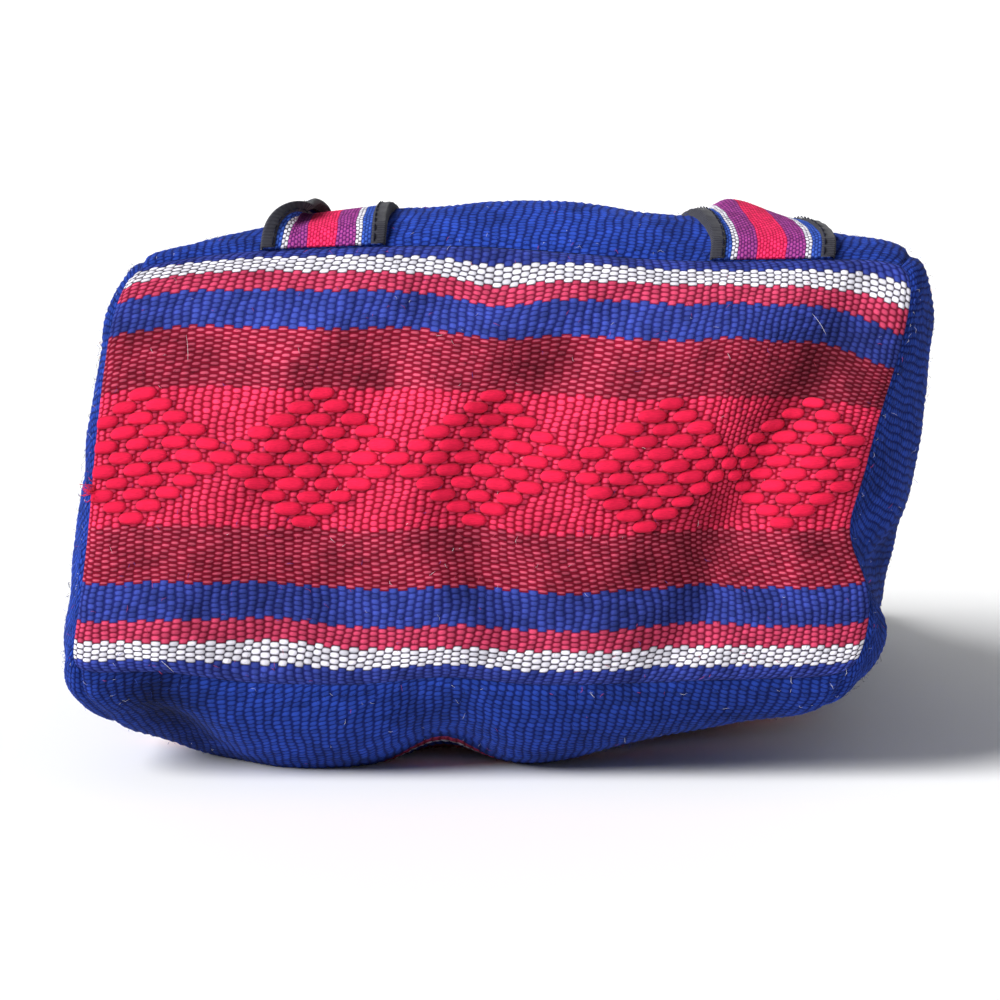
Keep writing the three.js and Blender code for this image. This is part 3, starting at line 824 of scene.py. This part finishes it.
def float_places():
    """Warp and row of the middle of each float."""
    start = rows_of(BASE_STRIPES[:BROCADE_STRIPE])
    centre_row = (FLOAT_ROWS - 1) // 2
    places = []
    for k in range(FLOAT_ROWS):
        row = start + (k + 0.5) * FLOAT_STEP
        reach = (centre_row - abs(k - centre_row)) / 2
        for step in FLOAT_STEPS:
            pitch = step / 2
            apart = (pitch + DIAMOND_PITCHES / 2) % DIAMOND_PITCHES - DIAMOND_PITCHES / 2
            warp = DIAMOND_WARP + pitch * FLOAT_PITCH
            on_cloth = FLOAT_EDGE < warp < BASE_WARPS[-1] - FLOAT_EDGE
            if (step + k) % 2 == 0 and abs(apart) <= reach and on_cloth:
                places.append((warp, row))
    return np.array(places)


FLOAT_PLACES = float_places()


def float_shade(u, v):
    """Painted shadow on the ground of the base cloth beside and below the floats."""
    shade = np.zeros(np.broadcast_shapes(u.shape, v.shape))
    wide, tall = FLOAT_HALF + FLOAT_SHADE_MORE[0], FLOAT_TALL + FLOAT_SHADE_MORE[1]
    for warp, row in FLOAT_PLACES:
        beside = (np.abs(u - warp) / wide) ** FLOAT_SHADE_POWER
        above = (np.abs(v - row + FLOAT_SHADE_DROP) / tall) ** FLOAT_SHADE_POWER
        shade = np.maximum(shade, np.clip((FLOAT_SHADE_START - beside - above) / FLOAT_SHADE_SOFT, 0, 1))
    return FLOAT_SHADE * shade


def brocade_floats():
    """Floats of thick red yarn that make five diamonds on the base panel."""
    count = len(FLOAT_PLACES)
    rng = np.random.default_rng(SEED)
    s, t = np.meshgrid(*(np.linspace(-1, 1, samples) for samples in FLOAT_GRID))
    waist, taper = ((1 - np.abs(s) ** power) ** root for power, root in (FLOAT_WAIST, FLOAT_DOME))
    size = 1 + FLOAT_SIZES * rng.standard_normal((count, 1, 1))
    shift = FLOAT_SHIFT * rng.standard_normal((count, 2, 1, 1))
    tilt = FLOAT_TILT * rng.standard_normal((count, 1, 1))
    warp = FLOAT_PLACES[:, 0, None, None] + FLOAT_HALF * size * s + shift[:, 0]
    row = FLOAT_PLACES[:, 1, None, None] + FLOAT_TALL * size * t * waist + shift[:, 1] + tilt * s
    warp = np.clip(warp, FLOAT_CLEAR, BASE_WARPS[-1] - FLOAT_CLEAR)
    dome = np.sqrt(np.clip(1 - t**2, 0, 1)) * taper
    at = base_surface(warp, row)
    normal = unit(np.cross(*slopes(base_surface, warp, row, FLOAT_SLOPE)))
    top = at + normal * (FLOAT_LIFT + FLOAT_RISE * size * dome)[..., None]
    bottom = at + normal * (FLOAT_LIFT - FLOAT_SINK * dome)[..., None]

    # Top and bottom share the points around their edge
    index = np.arange(s.size).reshape(s.shape)
    inside = np.setdiff1d(index, border(index))
    below = index.ravel().copy()
    below[inside] = s.size + np.arange(len(inside))
    one = np.concatenate([grid_faces(index), grid_faces(below[index])[:, ::-1]])
    faces = np.arange(count)[:, None, None] * (s.size + len(inside)) + one
    upper, lower = top.reshape(count, -1, 3), bottom.reshape(count, -1, 3)
    marks = np.stack(np.broadcast_arrays(s.ravel(), t.ravel(), np.arange(count)[:, None]), -1)
    points, marks = (
        np.concatenate([high, low[:, inside]], axis=1).reshape(-1, 3)
        for high, low in ((upper, lower), (marks, marks))
    )
    return closed_object("brocade_floats", points, [faces.reshape(-1, 4)], marks)


# Straps

def smooth_curve(points, samples):
    """Centripetal curve through points, at even steps between them."""
    ends = np.array([2 * points[0] - points[1], *points, 2 * points[-1] - points[-2]])
    place = np.linspace(0, len(points) - 1, samples)
    i = np.minimum(place.astype(int), len(points) - 2)
    p0, p1, p2, p3 = (ends[i + k] for k in range(4))
    d0, d1, d2 = (np.linalg.norm(step, axis=1)[:, None] ** 0.5 for step in (p1 - p0, p2 - p1, p3 - p2))
    m1 = d1 * ((p1 - p0) / d0 - (p2 - p0) / (d0 + d1)) + (p2 - p1)
    m2 = d1 * ((p3 - p2) / d2 - (p3 - p1) / (d1 + d2)) + (p2 - p1)
    t = (place - i)[:, None]
    behind = (2 * t**3 - 3 * t**2 + 1) * p1 + (t**3 - 2 * t**2 + t) * m1
    return behind + (3 * t**2 - 2 * t**3) * p2 + (t**3 - t**2) * m2


def body_normal(loop, reach):
    reach = min(max(reach, STRAP_SLOPE), 1 - STRAP_SLOPE)
    normal = unit(np.cross(*slopes(body_point, loop, reach, STRAP_SLOPE)))
    return normal if normal[2] > 0 else -normal


def strap_frames(hand, seam, turn, arch):
    """Middle line of a strap, with its width and thickness directions, its curl and its arch."""
    back_width = 2 * SECTIONS["half"][0]
    edges = []
    for edge in (-1, 1):
        points = []
        for along, lift in STRAP_ROUTE:
            reach = along / BACK_LENGTH
            share = seam + (STRAP_HEM - seam) * reach
            drift = DRIFT_ACROSS * (1 - bell(along / DRIFT_LENGTH))
            loop = (1 + hand * share) / 2 + (edge * STRAP_WIDTH / 2 - drift) / back_width
            points.append(body_point(loop, reach) + body_normal(loop, reach) * lift)
        edges.append(smooth_curve(np.array(points), ROUTE_SAMPLES))
    run = arc_from((edges[0] + edges[1]) / 2)
    even = np.concatenate([
        np.arange(0, STRAP_FINE, STRAP_FINE_STEP),
        np.linspace(STRAP_FINE, run[-1], int((run[-1] - STRAP_FINE) / STRAP_STEP)),
    ])
    left, right = (follow(even, run, edge) for edge in edges)
    middle = (left + right) / 2
    width = unit(right - left)
    past = even - FOLD_ALONG
    away = np.where(past < 0, past, np.maximum(past - FOLD_HOLD, 0) / FOLD_UNROLL) / FOLD_LENGTH
    return dict(
        middle=middle,
        width=width,
        thick=unit(np.cross(width, np.gradient(middle, axis=0))),
        run=even,
        turn=turn * bell(away),
        arch=arch * bell((even - ARCH_ALONG) / ARCH_LENGTH),
    )


def strap_places(frames, across, through):
    """Points of a strap's section all along it, with its left edge curled over and its middle arched up."""
    beyond = np.maximum(-across - FOLD_HINGE, 0)
    angle = np.minimum(beyond / FOLD_RADIUS, frames["turn"][:, None])
    flat = beyond - FOLD_RADIUS * angle
    inner = FOLD_RADIUS - through
    side = np.where(beyond > 0, -FOLD_HINGE - inner * np.sin(angle) - flat * np.cos(angle), across)
    curl = FOLD_RISE * (inner - inner * np.cos(angle) + flat * np.sin(angle))
    past = across / (STRAP_WIDTH / 2) - ARCH_PEAK
    arch = frames["arch"][:, None] * bell(past / np.where(past < 0, ARCH_LEFT, ARCH_RIGHT))
    lift = through + curl + arch
    width, thick = frames["width"][:, None], frames["thick"][:, None]
    return frames["middle"][:, None] + width * side[..., None] + thick * lift[..., None]


def strap_cloth(label, frames):
    """A strap: a flat band woven in lengthwise stripes."""
    columns = rows_of(STRAP_STRIPES)
    u = np.arange(2 * columns + 1) / 2
    v = frames["run"] / STRAP_PICK
    across = (u / columns - 0.5) * STRAP_WIDTH
    ends = np.clip(np.minimum(u, columns - u) / STRAP_EDGE, 0, 1) ** 0.5
    calm = np.clip((STRAP_FINE - frames["run"]) / STRAP_CALM, 0, 1)[:, None]
    height = STRAP_RELIEF * calm * weave_height(u[None], v[:, None], STRAP_STRIPES, by_column=True)
    half = (STRAP_THICK / 2 * ends)[None] + height
    top, bottom = (strap_places(frames, across[None], through) for through in (half, -half))
    around = np.concatenate([top, bottom[:, -2:0:-1]], axis=1)
    marks = weave_marks(np.concatenate([u, u[-2:0:-1]])[None], v[:, None])
    return tube_object(f"strap_{label}_cloth", around, marks)


def binding_tape(label, place, edge, frames):
    """Tape folded over one edge of a strap, with a soft round fold."""
    lip = STRAP_WIDTH / 2 - BINDING_COVER
    turn = STRAP_WIDTH / 2 + BINDING_CLEAR
    inside = STRAP_THICK / 2 + BINDING_CLEAR
    outside = inside + BINDING_WALL
    long, deep = TAPE_BEVEL
    angles = np.radians(np.arange(-90, 91, TAPE_TURN))
    outer = [(turn + TAPE_BULGE * math.cos(a), outside * math.sin(a)) for a in angles]
    inner = [(turn + TAPE_HOLLOW * math.cos(a), inside * math.sin(a)) for a in angles[::-2]]
    outline = [(lip + long, -outside), *outer, (lip + long, outside), (lip, outside - deep), (lip, inside)]
    outline = np.array([*outline, *inner, (lip, -inside), (lip, -outside + deep)])
    bumps = 1 + waves(TAPE_BUMPS, frames["run"][:, None], outline[None, :, 1])
    rings = strap_places(frames, edge * outline[None, :, 0], outline[None, :, 1] * bumps)
    marks = weave_marks(arc_from(outline)[None] / TAPE_WARP, frames["run"][:, None] / STRAP_PICK)
    return tube_object(f"strap_{label}_tape_{place}", rings, marks)


# Loose fibres and stitches

def strands(name, start, middle, end, radius, colours, steps=STRAND_STEPS):
    """Thin round strands through three points each, one object for all of them."""
    t = np.linspace(0, 1, steps)[None, :, None]
    path = start[:, None] * (1 - t) * (1 - 2 * t) + middle[:, None] * 4 * t * (1 - t)
    path = path + end[:, None] * t * (2 * t - 1)
    path[..., 2] = np.maximum(path[..., 2], STITCH_RADIUS)
    way = unit(np.gradient(path, axis=1))
    side = unit(np.cross(way, STRAND_TILT))
    other = np.cross(way, side)
    angles = np.arange(STRAND_SIDES) * 2 * np.pi / STRAND_SIDES
    around = side[:, :, None] * np.cos(angles)[:, None] + other[:, :, None] * np.sin(angles)[:, None]
    most, power = STRAND_TAPER
    thick = np.reshape(radius, (-1, 1, 1, 1)) * (1 - most * np.abs(2 * t - 1) ** power)[..., None]
    points = (path[:, :, None] + thick * around).reshape(-1, 3)
    index = np.arange(len(points)).reshape(len(start), steps, STRAND_SIDES)
    after = np.roll(index, -1, axis=2)
    quads = np.stack([index[:, :-1], after[:, :-1], after[:, 1:], index[:, 1:]], -1).reshape(-1, 4)
    faces = [quads, index[:, 0, ::-1], index[:, -1]]
    return closed_object(name, points, faces, np.repeat(colours, steps * STRAND_SIDES, axis=0))


def surface_frame(surface, p, q, inside):
    """Points of a surface with two directions along it and one out of it."""
    point = surface(p, q)
    first, second = slopes(surface, p, q, FIBRE_SLOPE)
    first = unit(first)
    out = unit(np.cross(first, second))
    out = np.where(((point - inside) * out).sum(-1, keepdims=True) < 0, -out, out)
    return point, first, np.cross(out, first), out


def lint(name, surface, p, q, inside, shares, rng):
    """Short fibres that lie on a surface or stand a little off it."""
    count = len(p)
    point, first, second, out = surface_frame(surface, p, q, inside)
    turn, tilt = rng.uniform(0, 2 * np.pi, (count, 1)), rng.uniform(0.0, LINT_TILT, (count, 1)) ** 2
    way = unit((np.cos(turn) * first + np.sin(turn) * second) * np.cos(tilt) + np.sin(tilt) * out)
    length = rng.uniform(*LINT_LENGTH, (count, 1))
    start = point + LINT_LIFT * out
    end = start + length * way
    bow = rng.standard_normal((count, 3)) * LINT_BOW[0] * length
    middle = (start + end) / 2 + bow + LINT_BOW[1] * length * out
    colours = np.array([linear(c)[:3] for c in LINT_COLOURS])
    picked = colours[rng.choice(len(colours), count, p=shares)]
    return strands(name, start, middle, end, rng.uniform(*LINT_RADIUS, count), picked, LINT_STEPS)


def base_lint():
    rng = np.random.default_rng(SEED + 1)
    across, up = (rng.uniform(-spread, spread, BASE_LINT) for spread in BASE_LINT_SPREAD)
    return lint("base_lint", base_point, across, up, BASE_BEHIND, BASE_LINT_SHARES, rng)


def body_lint():
    rng = np.random.default_rng(SEED + 2)
    first, most, power = BODY_LINT_SPREAD
    loop, reach = rng.uniform(0, 4, BODY_LINT), first + most * rng.uniform(0, 1, BODY_LINT) ** power
    return lint("body_lint", body_point, loop, reach, body_middle(reach), BODY_LINT_SHARES, rng)


def hairs():
    """A few long pale hairs caught on the base panel, and a tuft of red yarn at its left edge."""
    rng = np.random.default_rng(SEED + 3)
    rows = np.array(HAIRS)
    point, first, second, out = surface_frame(base_point, rows[:, 0], rows[:, 1], BASE_BEHIND)
    start = point + HAIR_LIFT * out
    end = start + rows[:, 2:3] * first + rows[:, 3:] * second
    middle = (start + end) / 2 + HAIR_BOW[0] * first + HAIR_BOW[1] * out
    root = base_point(*TUFT_PLACE) + rng.normal(0, TUFT_SCATTER, (TUFT_STRANDS, 3))
    way = unit(rng.normal(TUFT_WAY, TUFT_SPREAD, (TUFT_STRANDS, 3)))
    tip = root + rng.uniform(*TUFT_LENGTH, (TUFT_STRANDS, 1)) * way
    bend = (root + tip) / 2 + rng.normal(0, TUFT_SPREAD, (TUFT_STRANDS, 3))
    counts = [len(rows), TUFT_STRANDS]
    colours = np.repeat([linear(HAIR_COLOUR)[:3], linear(TUFT_COLOUR)[:3]], counts, axis=0)
    radius = np.repeat([HAIR_RADIUS, TUFT_RADIUS], counts)
    ends = [np.concatenate(pair) for pair in ((start, root), (middle, bend), (end, tip))]
    return strands("hairs_and_tuft", *ends, radius, colours)


def stitches(name, lines):
    """Running stitches along lines of points, given with the direction out of the cloth."""
    parts = [[], [], []]
    low, high = STITCH_LIFT
    for points, out in lines:
        run = arc_from(points)
        places = np.arange(STITCH_START, run[-1] - STITCH, STITCH_PITCH)
        for part, share, lift in zip(parts, (0, 0.5, 1), (low, high, low)):
            part.append(follow(places + share * STITCH, run, points + lift * out))
    ends = [np.concatenate(part) for part in parts]
    count = len(ends[0])
    colours = np.tile(linear(STITCH_COLOUR)[:3], (count, 1))
    return strands(name, *ends, np.full(count, STITCH_RADIUS), colours)


def hem_stitches():
    lines = []
    loops = np.linspace(0, 4, HEM_SAMPLES)
    for inset in HEM_STITCH_LINES:
        reach = np.full_like(loops, 1 - inset / FRONT_LENGTH)
        point, _, _, out = surface_frame(body_point, loops, reach, body_middle(reach))
        lines.append((point + RELIEF * out, out))
    return stitches("hem_stitches", lines)


def tape_stitches(label, frames):
    lines = []
    across = STRAP_WIDTH / 2 - BINDING_COVER + TAPE_BEVEL[0]
    face = STRAP_THICK / 2 + BINDING_CLEAR + BINDING_WALL
    for edge in (-1, 1):
        for side in (-1, 1):
            place, levels = np.array([[edge * across]]), (face, face + STITCH_PROBE)
            inner, outer = (strap_places(frames, place, np.array([[side * level]]))[:, 0] for level in levels)
            lines.append((inner, unit(outer - inner)))
    return stitches(f"strap_{label}_stitches", lines)


# Materials

class Nodes:
    """Short forms for building a material's nodes."""

    def __init__(self, name):
        self.material = bpy.data.materials.new(name)
        self.material.use_nodes = True
        self.tree = self.material.node_tree
        self.sockets = self.tree.nodes["Principled BSDF"].inputs

    def put(self, value, socket):
        if isinstance(value, bpy.types.NodeSocket):
            self.tree.links.new(value, socket)
        else:
            socket.default_value = value

    def add(self, kind, inputs, **settings):
        node = self.tree.nodes.new(kind)
        for key, value in settings.items():
            setattr(node, key, value)
        for key, value in inputs.items():
            self.put(value, node.inputs[key])
        return node

    def math(self, operation, *values):
        return self.add("ShaderNodeMath", dict(enumerate(values)), operation=operation).outputs[0]

    def line(self, value, slope, level):
        return self.math("MULTIPLY_ADD", value, slope, level)

    def times(self, first, *others):
        for value in others:
            first = self.math("MULTIPLY", first, value)
        return first

    def apart(self, a, b):
        return self.math("ABSOLUTE", self.math("SUBTRACT", a, b))

    def weave(self):
        return self.add("ShaderNodeAttribute", {}, attribute_name="weave").outputs["Vector"]

    def marks(self):
        """The three values that each point of the mesh carries."""
        split = self.add("ShaderNodeSeparateXYZ", {"Vector": self.weave()})
        return [split.outputs[i] for i in range(3)]

    def position(self):
        return self.add("ShaderNodeTexCoord", {}).outputs["Object"]

    def vector(self, x, y, z):
        return self.add("ShaderNodeCombineXYZ", {"X": x, "Y": y, "Z": z}).outputs[0]

    def noise(self, vector, scale, detail):
        settings = {"Vector": vector, "Scale": scale, "Detail": detail}
        return self.add("ShaderNodeTexNoise", settings).outputs["Fac"]

    def luck(self, x, y):
        return self.add("ShaderNodeTexWhiteNoise", {"Vector": self.vector(x, y, 0.0)}).outputs["Value"]

    def streaks(self, x, y, stretch, which, noise):
        """Noise drawn out along the yarn."""
        return self.noise(self.vector(self.times(x, stretch[0]), self.times(y, stretch[1]), which), *noise)

    def smooth(self, value, low, high):
        """Smooth step from 0 at low to 1 at high."""
        inputs = {"Value": value, "From Min": low, "From Max": high}
        return self.add("ShaderNodeMapRange", inputs, interpolation_type="SMOOTHSTEP").outputs[0]

    def ramp(self, place, stops):
        """Stepped colours from (place, colour) pairs."""
        node = self.add("ShaderNodeValToRGB", {"Fac": place})
        node.color_ramp.interpolation = "CONSTANT"
        elements = node.color_ramp.elements
        for at, _ in stops[2:]:
            elements.new(at)
        for element, (at, colour) in zip(elements, stops):
            element.position = at
            element.color = colour
        return node.outputs["Color"]

    def lit(self, colour, light):
        return self.add("ShaderNodeVectorMath", {0: colour, "Scale": light}, operation="SCALE").outputs[0]

    def finish(self, colour, height, depth, roughness, sheen):
        inputs = {"Height": height, "Distance": depth, "Strength": 0.8}
        self.dress({
            "Base Color": colour,
            "Normal": self.add("ShaderNodeBump", inputs).outputs[0],
            "Roughness": roughness,
            "Sheen Weight": sheen,
            "Sheen Roughness": 0.5,
            "Specular IOR Level": 0.08,
        })
        return self.material

    def dress(self, values):
        for key, value in values.items():
            self.put(value, self.sockets[key])


def stripe_stops(stripes, key):
    total = rows_of(stripes)
    stops, start = [], 0
    for stripe in stripes:
        stops.append((start / total, YARNS[stripe[0]][key]))
        start += stripe[1]
    return stops if len(stops) > 1 else stops * 2


def cloth_material(name, stripes, by_column=False):
    """Weft-faced weave: beads of yarn in a brick pattern, coloured by stripes, dark in the gaps."""
    n = Nodes(name)
    u, v, shade = n.marks()
    column = n.math("ROUND", u)
    odd = n.math("FLOORED_MODULO", column, 2.0)
    row = n.line(n.math("ROUND", n.times(n.math("SUBTRACT", v, odd), 0.5)), 2.0, odd)
    place = n.math("DIVIDE", n.math("ADD", column if by_column else row, 0.5), rows_of(stripes))
    colour, ground, form = (n.ramp(place, stripe_stops(stripes, key)) for key in ("colour", "ground", "form"))
    shape = n.add("ShaderNodeSeparateColor", {"Color": form})
    fill, width, soil = (shape.outputs[i] for i in range(3))
    x = n.math("DIVIDE", n.apart(u, column), n.times(width, 0.5))
    y = n.math("DIVIDE", n.apart(v, row), fill)
    out = n.math("ADD", n.math("POWER", x, BEAD_POWER), n.math("POWER", y, BEAD_POWER))
    dome = n.math("SQRT", n.math("MAXIMUM", n.math("SUBTRACT", 1.0, out), 0.0))
    luck = n.luck(column, row)
    streak = n.streaks(u, v, STREAK_STRETCH, luck, STREAK_NOISE)
    mask = n.smooth(n.line(n.math("SUBTRACT", streak, 0.5), BEAD_RAGGED, out), *BEAD_RANGE)
    position = n.position()
    blotch = n.smooth(n.noise(position, *BLOTCH_NOISE), *BLOTCH_RANGE)
    mixed = n.add("ShaderNodeMix", {0: mask, 6: ground, 7: colour}, data_type="RGBA").outputs[2]
    # The third mark darkens or lightens the yarn as painted shade and painted highlight
    light = n.times(
        n.line(streak, *STREAK_LIGHT),
        n.line(luck, *LUCK_LIGHT),
        n.line(n.noise(position, *PATCH_NOISE), *PATCH_LIGHT),
        n.line(shade, *SHADE_LIGHT),
        n.math("SUBTRACT", 1.0, n.times(soil, blotch)),
    )
    return n.finish(n.lit(mixed, light), n.line(streak, STREAK_HEIGHT, dome), *CLOTH_FINISH)


def float_material():
    """Thick soft red yarn, made of strands that run along each float, with painted shade along its long
    edges.
    """
    n = Nodes("brocade_yarn")
    s, t, which = n.marks()
    streak = n.streaks(s, t, FLOAT_STRETCH, which, FLOAT_NOISE)
    light = n.times(
        n.line(streak, *FLOAT_STREAK_LIGHT),
        n.line(n.luck(which, 0.0), *FLOAT_LUCK_LIGHT),
        n.line(n.math("POWER", n.math("ABSOLUTE", t), FLOAT_EDGE_POWER), *FLOAT_EDGE_SHADE),
    )
    return n.finish(n.lit(linear(FLOAT_COLOUR)[:3], light), streak, *FLOAT_FINISH)


def tape_material():
    """Black tape with fine cross ribs."""
    n = Nodes("black_tape")
    rib = n.math("SINE", n.times(n.marks()[1], TAPE_RIB_PHASE))
    fuzz = n.noise(n.position(), *TAPE_NOISE)
    light = n.line(rib, TAPE_RIB, n.line(fuzz, *TAPE_LIGHT))
    return n.finish(n.lit(linear(TAPE_COLOUR)[:3], light), n.math("ADD", rib, fuzz), *TAPE_FINISH)


def strand_material():
    """Matt thread in the colour that each strand carries."""
    n = Nodes("thread")
    n.dress({"Base Color": n.weave(), "Roughness": 0.9, "Specular IOR Level": 0.2})
    return n.material


# The bag

def dress(piece, material, slot, *nodes):
    """Gives a piece its material, the nodes that it stands for and the body that it rides on; slot is not
    used.
    """
    piece.data.materials.append(material)
    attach(piece, "root")
    if nodes:
        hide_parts(*nodes)
    return piece


blue_cloth = cloth_material("blue_cloth", BLUE_STRIPES)
base = dress(base_cloth(), cloth_material("brocade_cloth", BASE_STRIPES), "brocade_cloth", "bottom_panel")
floats = dress(brocade_floats(), float_material(), "brocade_cloth")
front = dress(
    body_cloth("front_panel_cloth", 2, FRONT_STRIPES, FRONT_SKEW),
    cloth_material("striped_cloth", FRONT_STRIPES),
    "striped_cloth",
    "front_panel",
)
back, right, left = (
    dress(body_cloth(f"{node}_cloth", side, BLUE_STRIPES), blue_cloth, "blue_cloth", node)
    for side, node in ((0, "back_panel"), (1, "side_panel_right"), (3, "side_panel_left"))
)
thread = strand_material()
base_loose = [dress(piece, thread, "brocade_cloth") for piece in (base_lint(), hairs())]
back_loose = [dress(piece, thread, "blue_cloth") for piece in (body_lint(), hem_stitches())]
strap_material = cloth_material("strap_cloth", STRAP_STRIPES, by_column=True)
tape = tape_material()
for label, row in STRAPS.items():
    frames = strap_frames(**row)
    strap = dress(strap_cloth(label, frames), strap_material, "strap_cloth", f"strap_{label}")
    for place, edge in (("outer", row["hand"]), ("inner", -row["hand"])):
        node = f"strap_{label}_binding_{place}"
        dress(binding_tape(label, place, edge, frames), tape, "binding_tape", node)
    dress(tape_stitches(label, frames), thread, "binding_tape")


# Floor, light and camera

def floor_sweep():
    """Pale floor that sweeps up into a wall far behind the bag."""
    turns = np.radians(np.arange(0, 91, SWEEP_STEP))
    curve = [(FLOOR_FAR + SWEEP * math.sin(t), SWEEP * (1 - math.cos(t))) for t in turns]
    wall = FLOOR_FAR + SWEEP
    profile = [(FLOOR_NEAR, 0.0), (FLOOR_FAR - SWEEP_EASE, 0.0), *curve]
    profile += [(wall, SWEEP + SWEEP_EASE), (wall, WALL_TOP)]
    points = [[(x, y, z) for x in (-FLOOR_WIDTH / 2, FLOOR_WIDTH / 2)] for y, z in profile]
    index = np.arange(2 * len(profile)).reshape(-1, 2)
    sweep = make_object("floor", np.reshape(points, (-1, 3)) / MM + ORIGIN, [grid_faces(index)])
    n = Nodes("pale_floor")
    level = n.line(n.noise(n.position(), *FLOOR_NOISE), *FLOOR_LIGHT)
    n.dress({"Base Color": n.vector(level, level, level), "Roughness": 0.9})
    sweep.data.materials.append(n.material)


def studio():
    """Soft light from the upper left, and a weak sky."""
    world = bpy.data.worlds.new("studio")
    world.use_nodes = True
    sky = world.node_tree.nodes["Background"].inputs
    sky["Color"].default_value = SKY_COLOUR
    sky["Strength"].default_value = SKY_STRENGTH
    bpy.context.scene.world = world
    data = bpy.data.lights.new("key", "SUN")
    data.energy = KEY_STRENGTH
    data.angle = math.radians(KEY_SOFTNESS)
    key = bpy.data.objects.new("key", data)
    key.rotation_euler = Vector(KEY_WAY).to_track_quat("Z", "Y").to_euler()
    bpy.context.scene.collection.objects.link(key)


def camera():
    data = bpy.data.cameras.new("camera")
    data.sensor_width = SENSOR
    data.lens = FOCAL_PIXELS / IMAGE_PIXELS * SENSOR
    placed = bpy.data.objects.new("camera", data)
    tilt = math.radians(CAMERA_ELEVATION)
    back_way = np.array([0, -math.cos(tilt), math.sin(tilt)])
    placed.location = CAMERA_TARGET + CAMERA_DISTANCE * back_way
    placed.rotation_euler = (math.pi / 2 - tilt, 0, 0)
    bpy.context.scene.collection.objects.link(placed)
    bpy.context.scene.camera = placed


floor_sweep()
studio()
camera()
bpy.context.scene.view_settings.view_transform = "Standard"
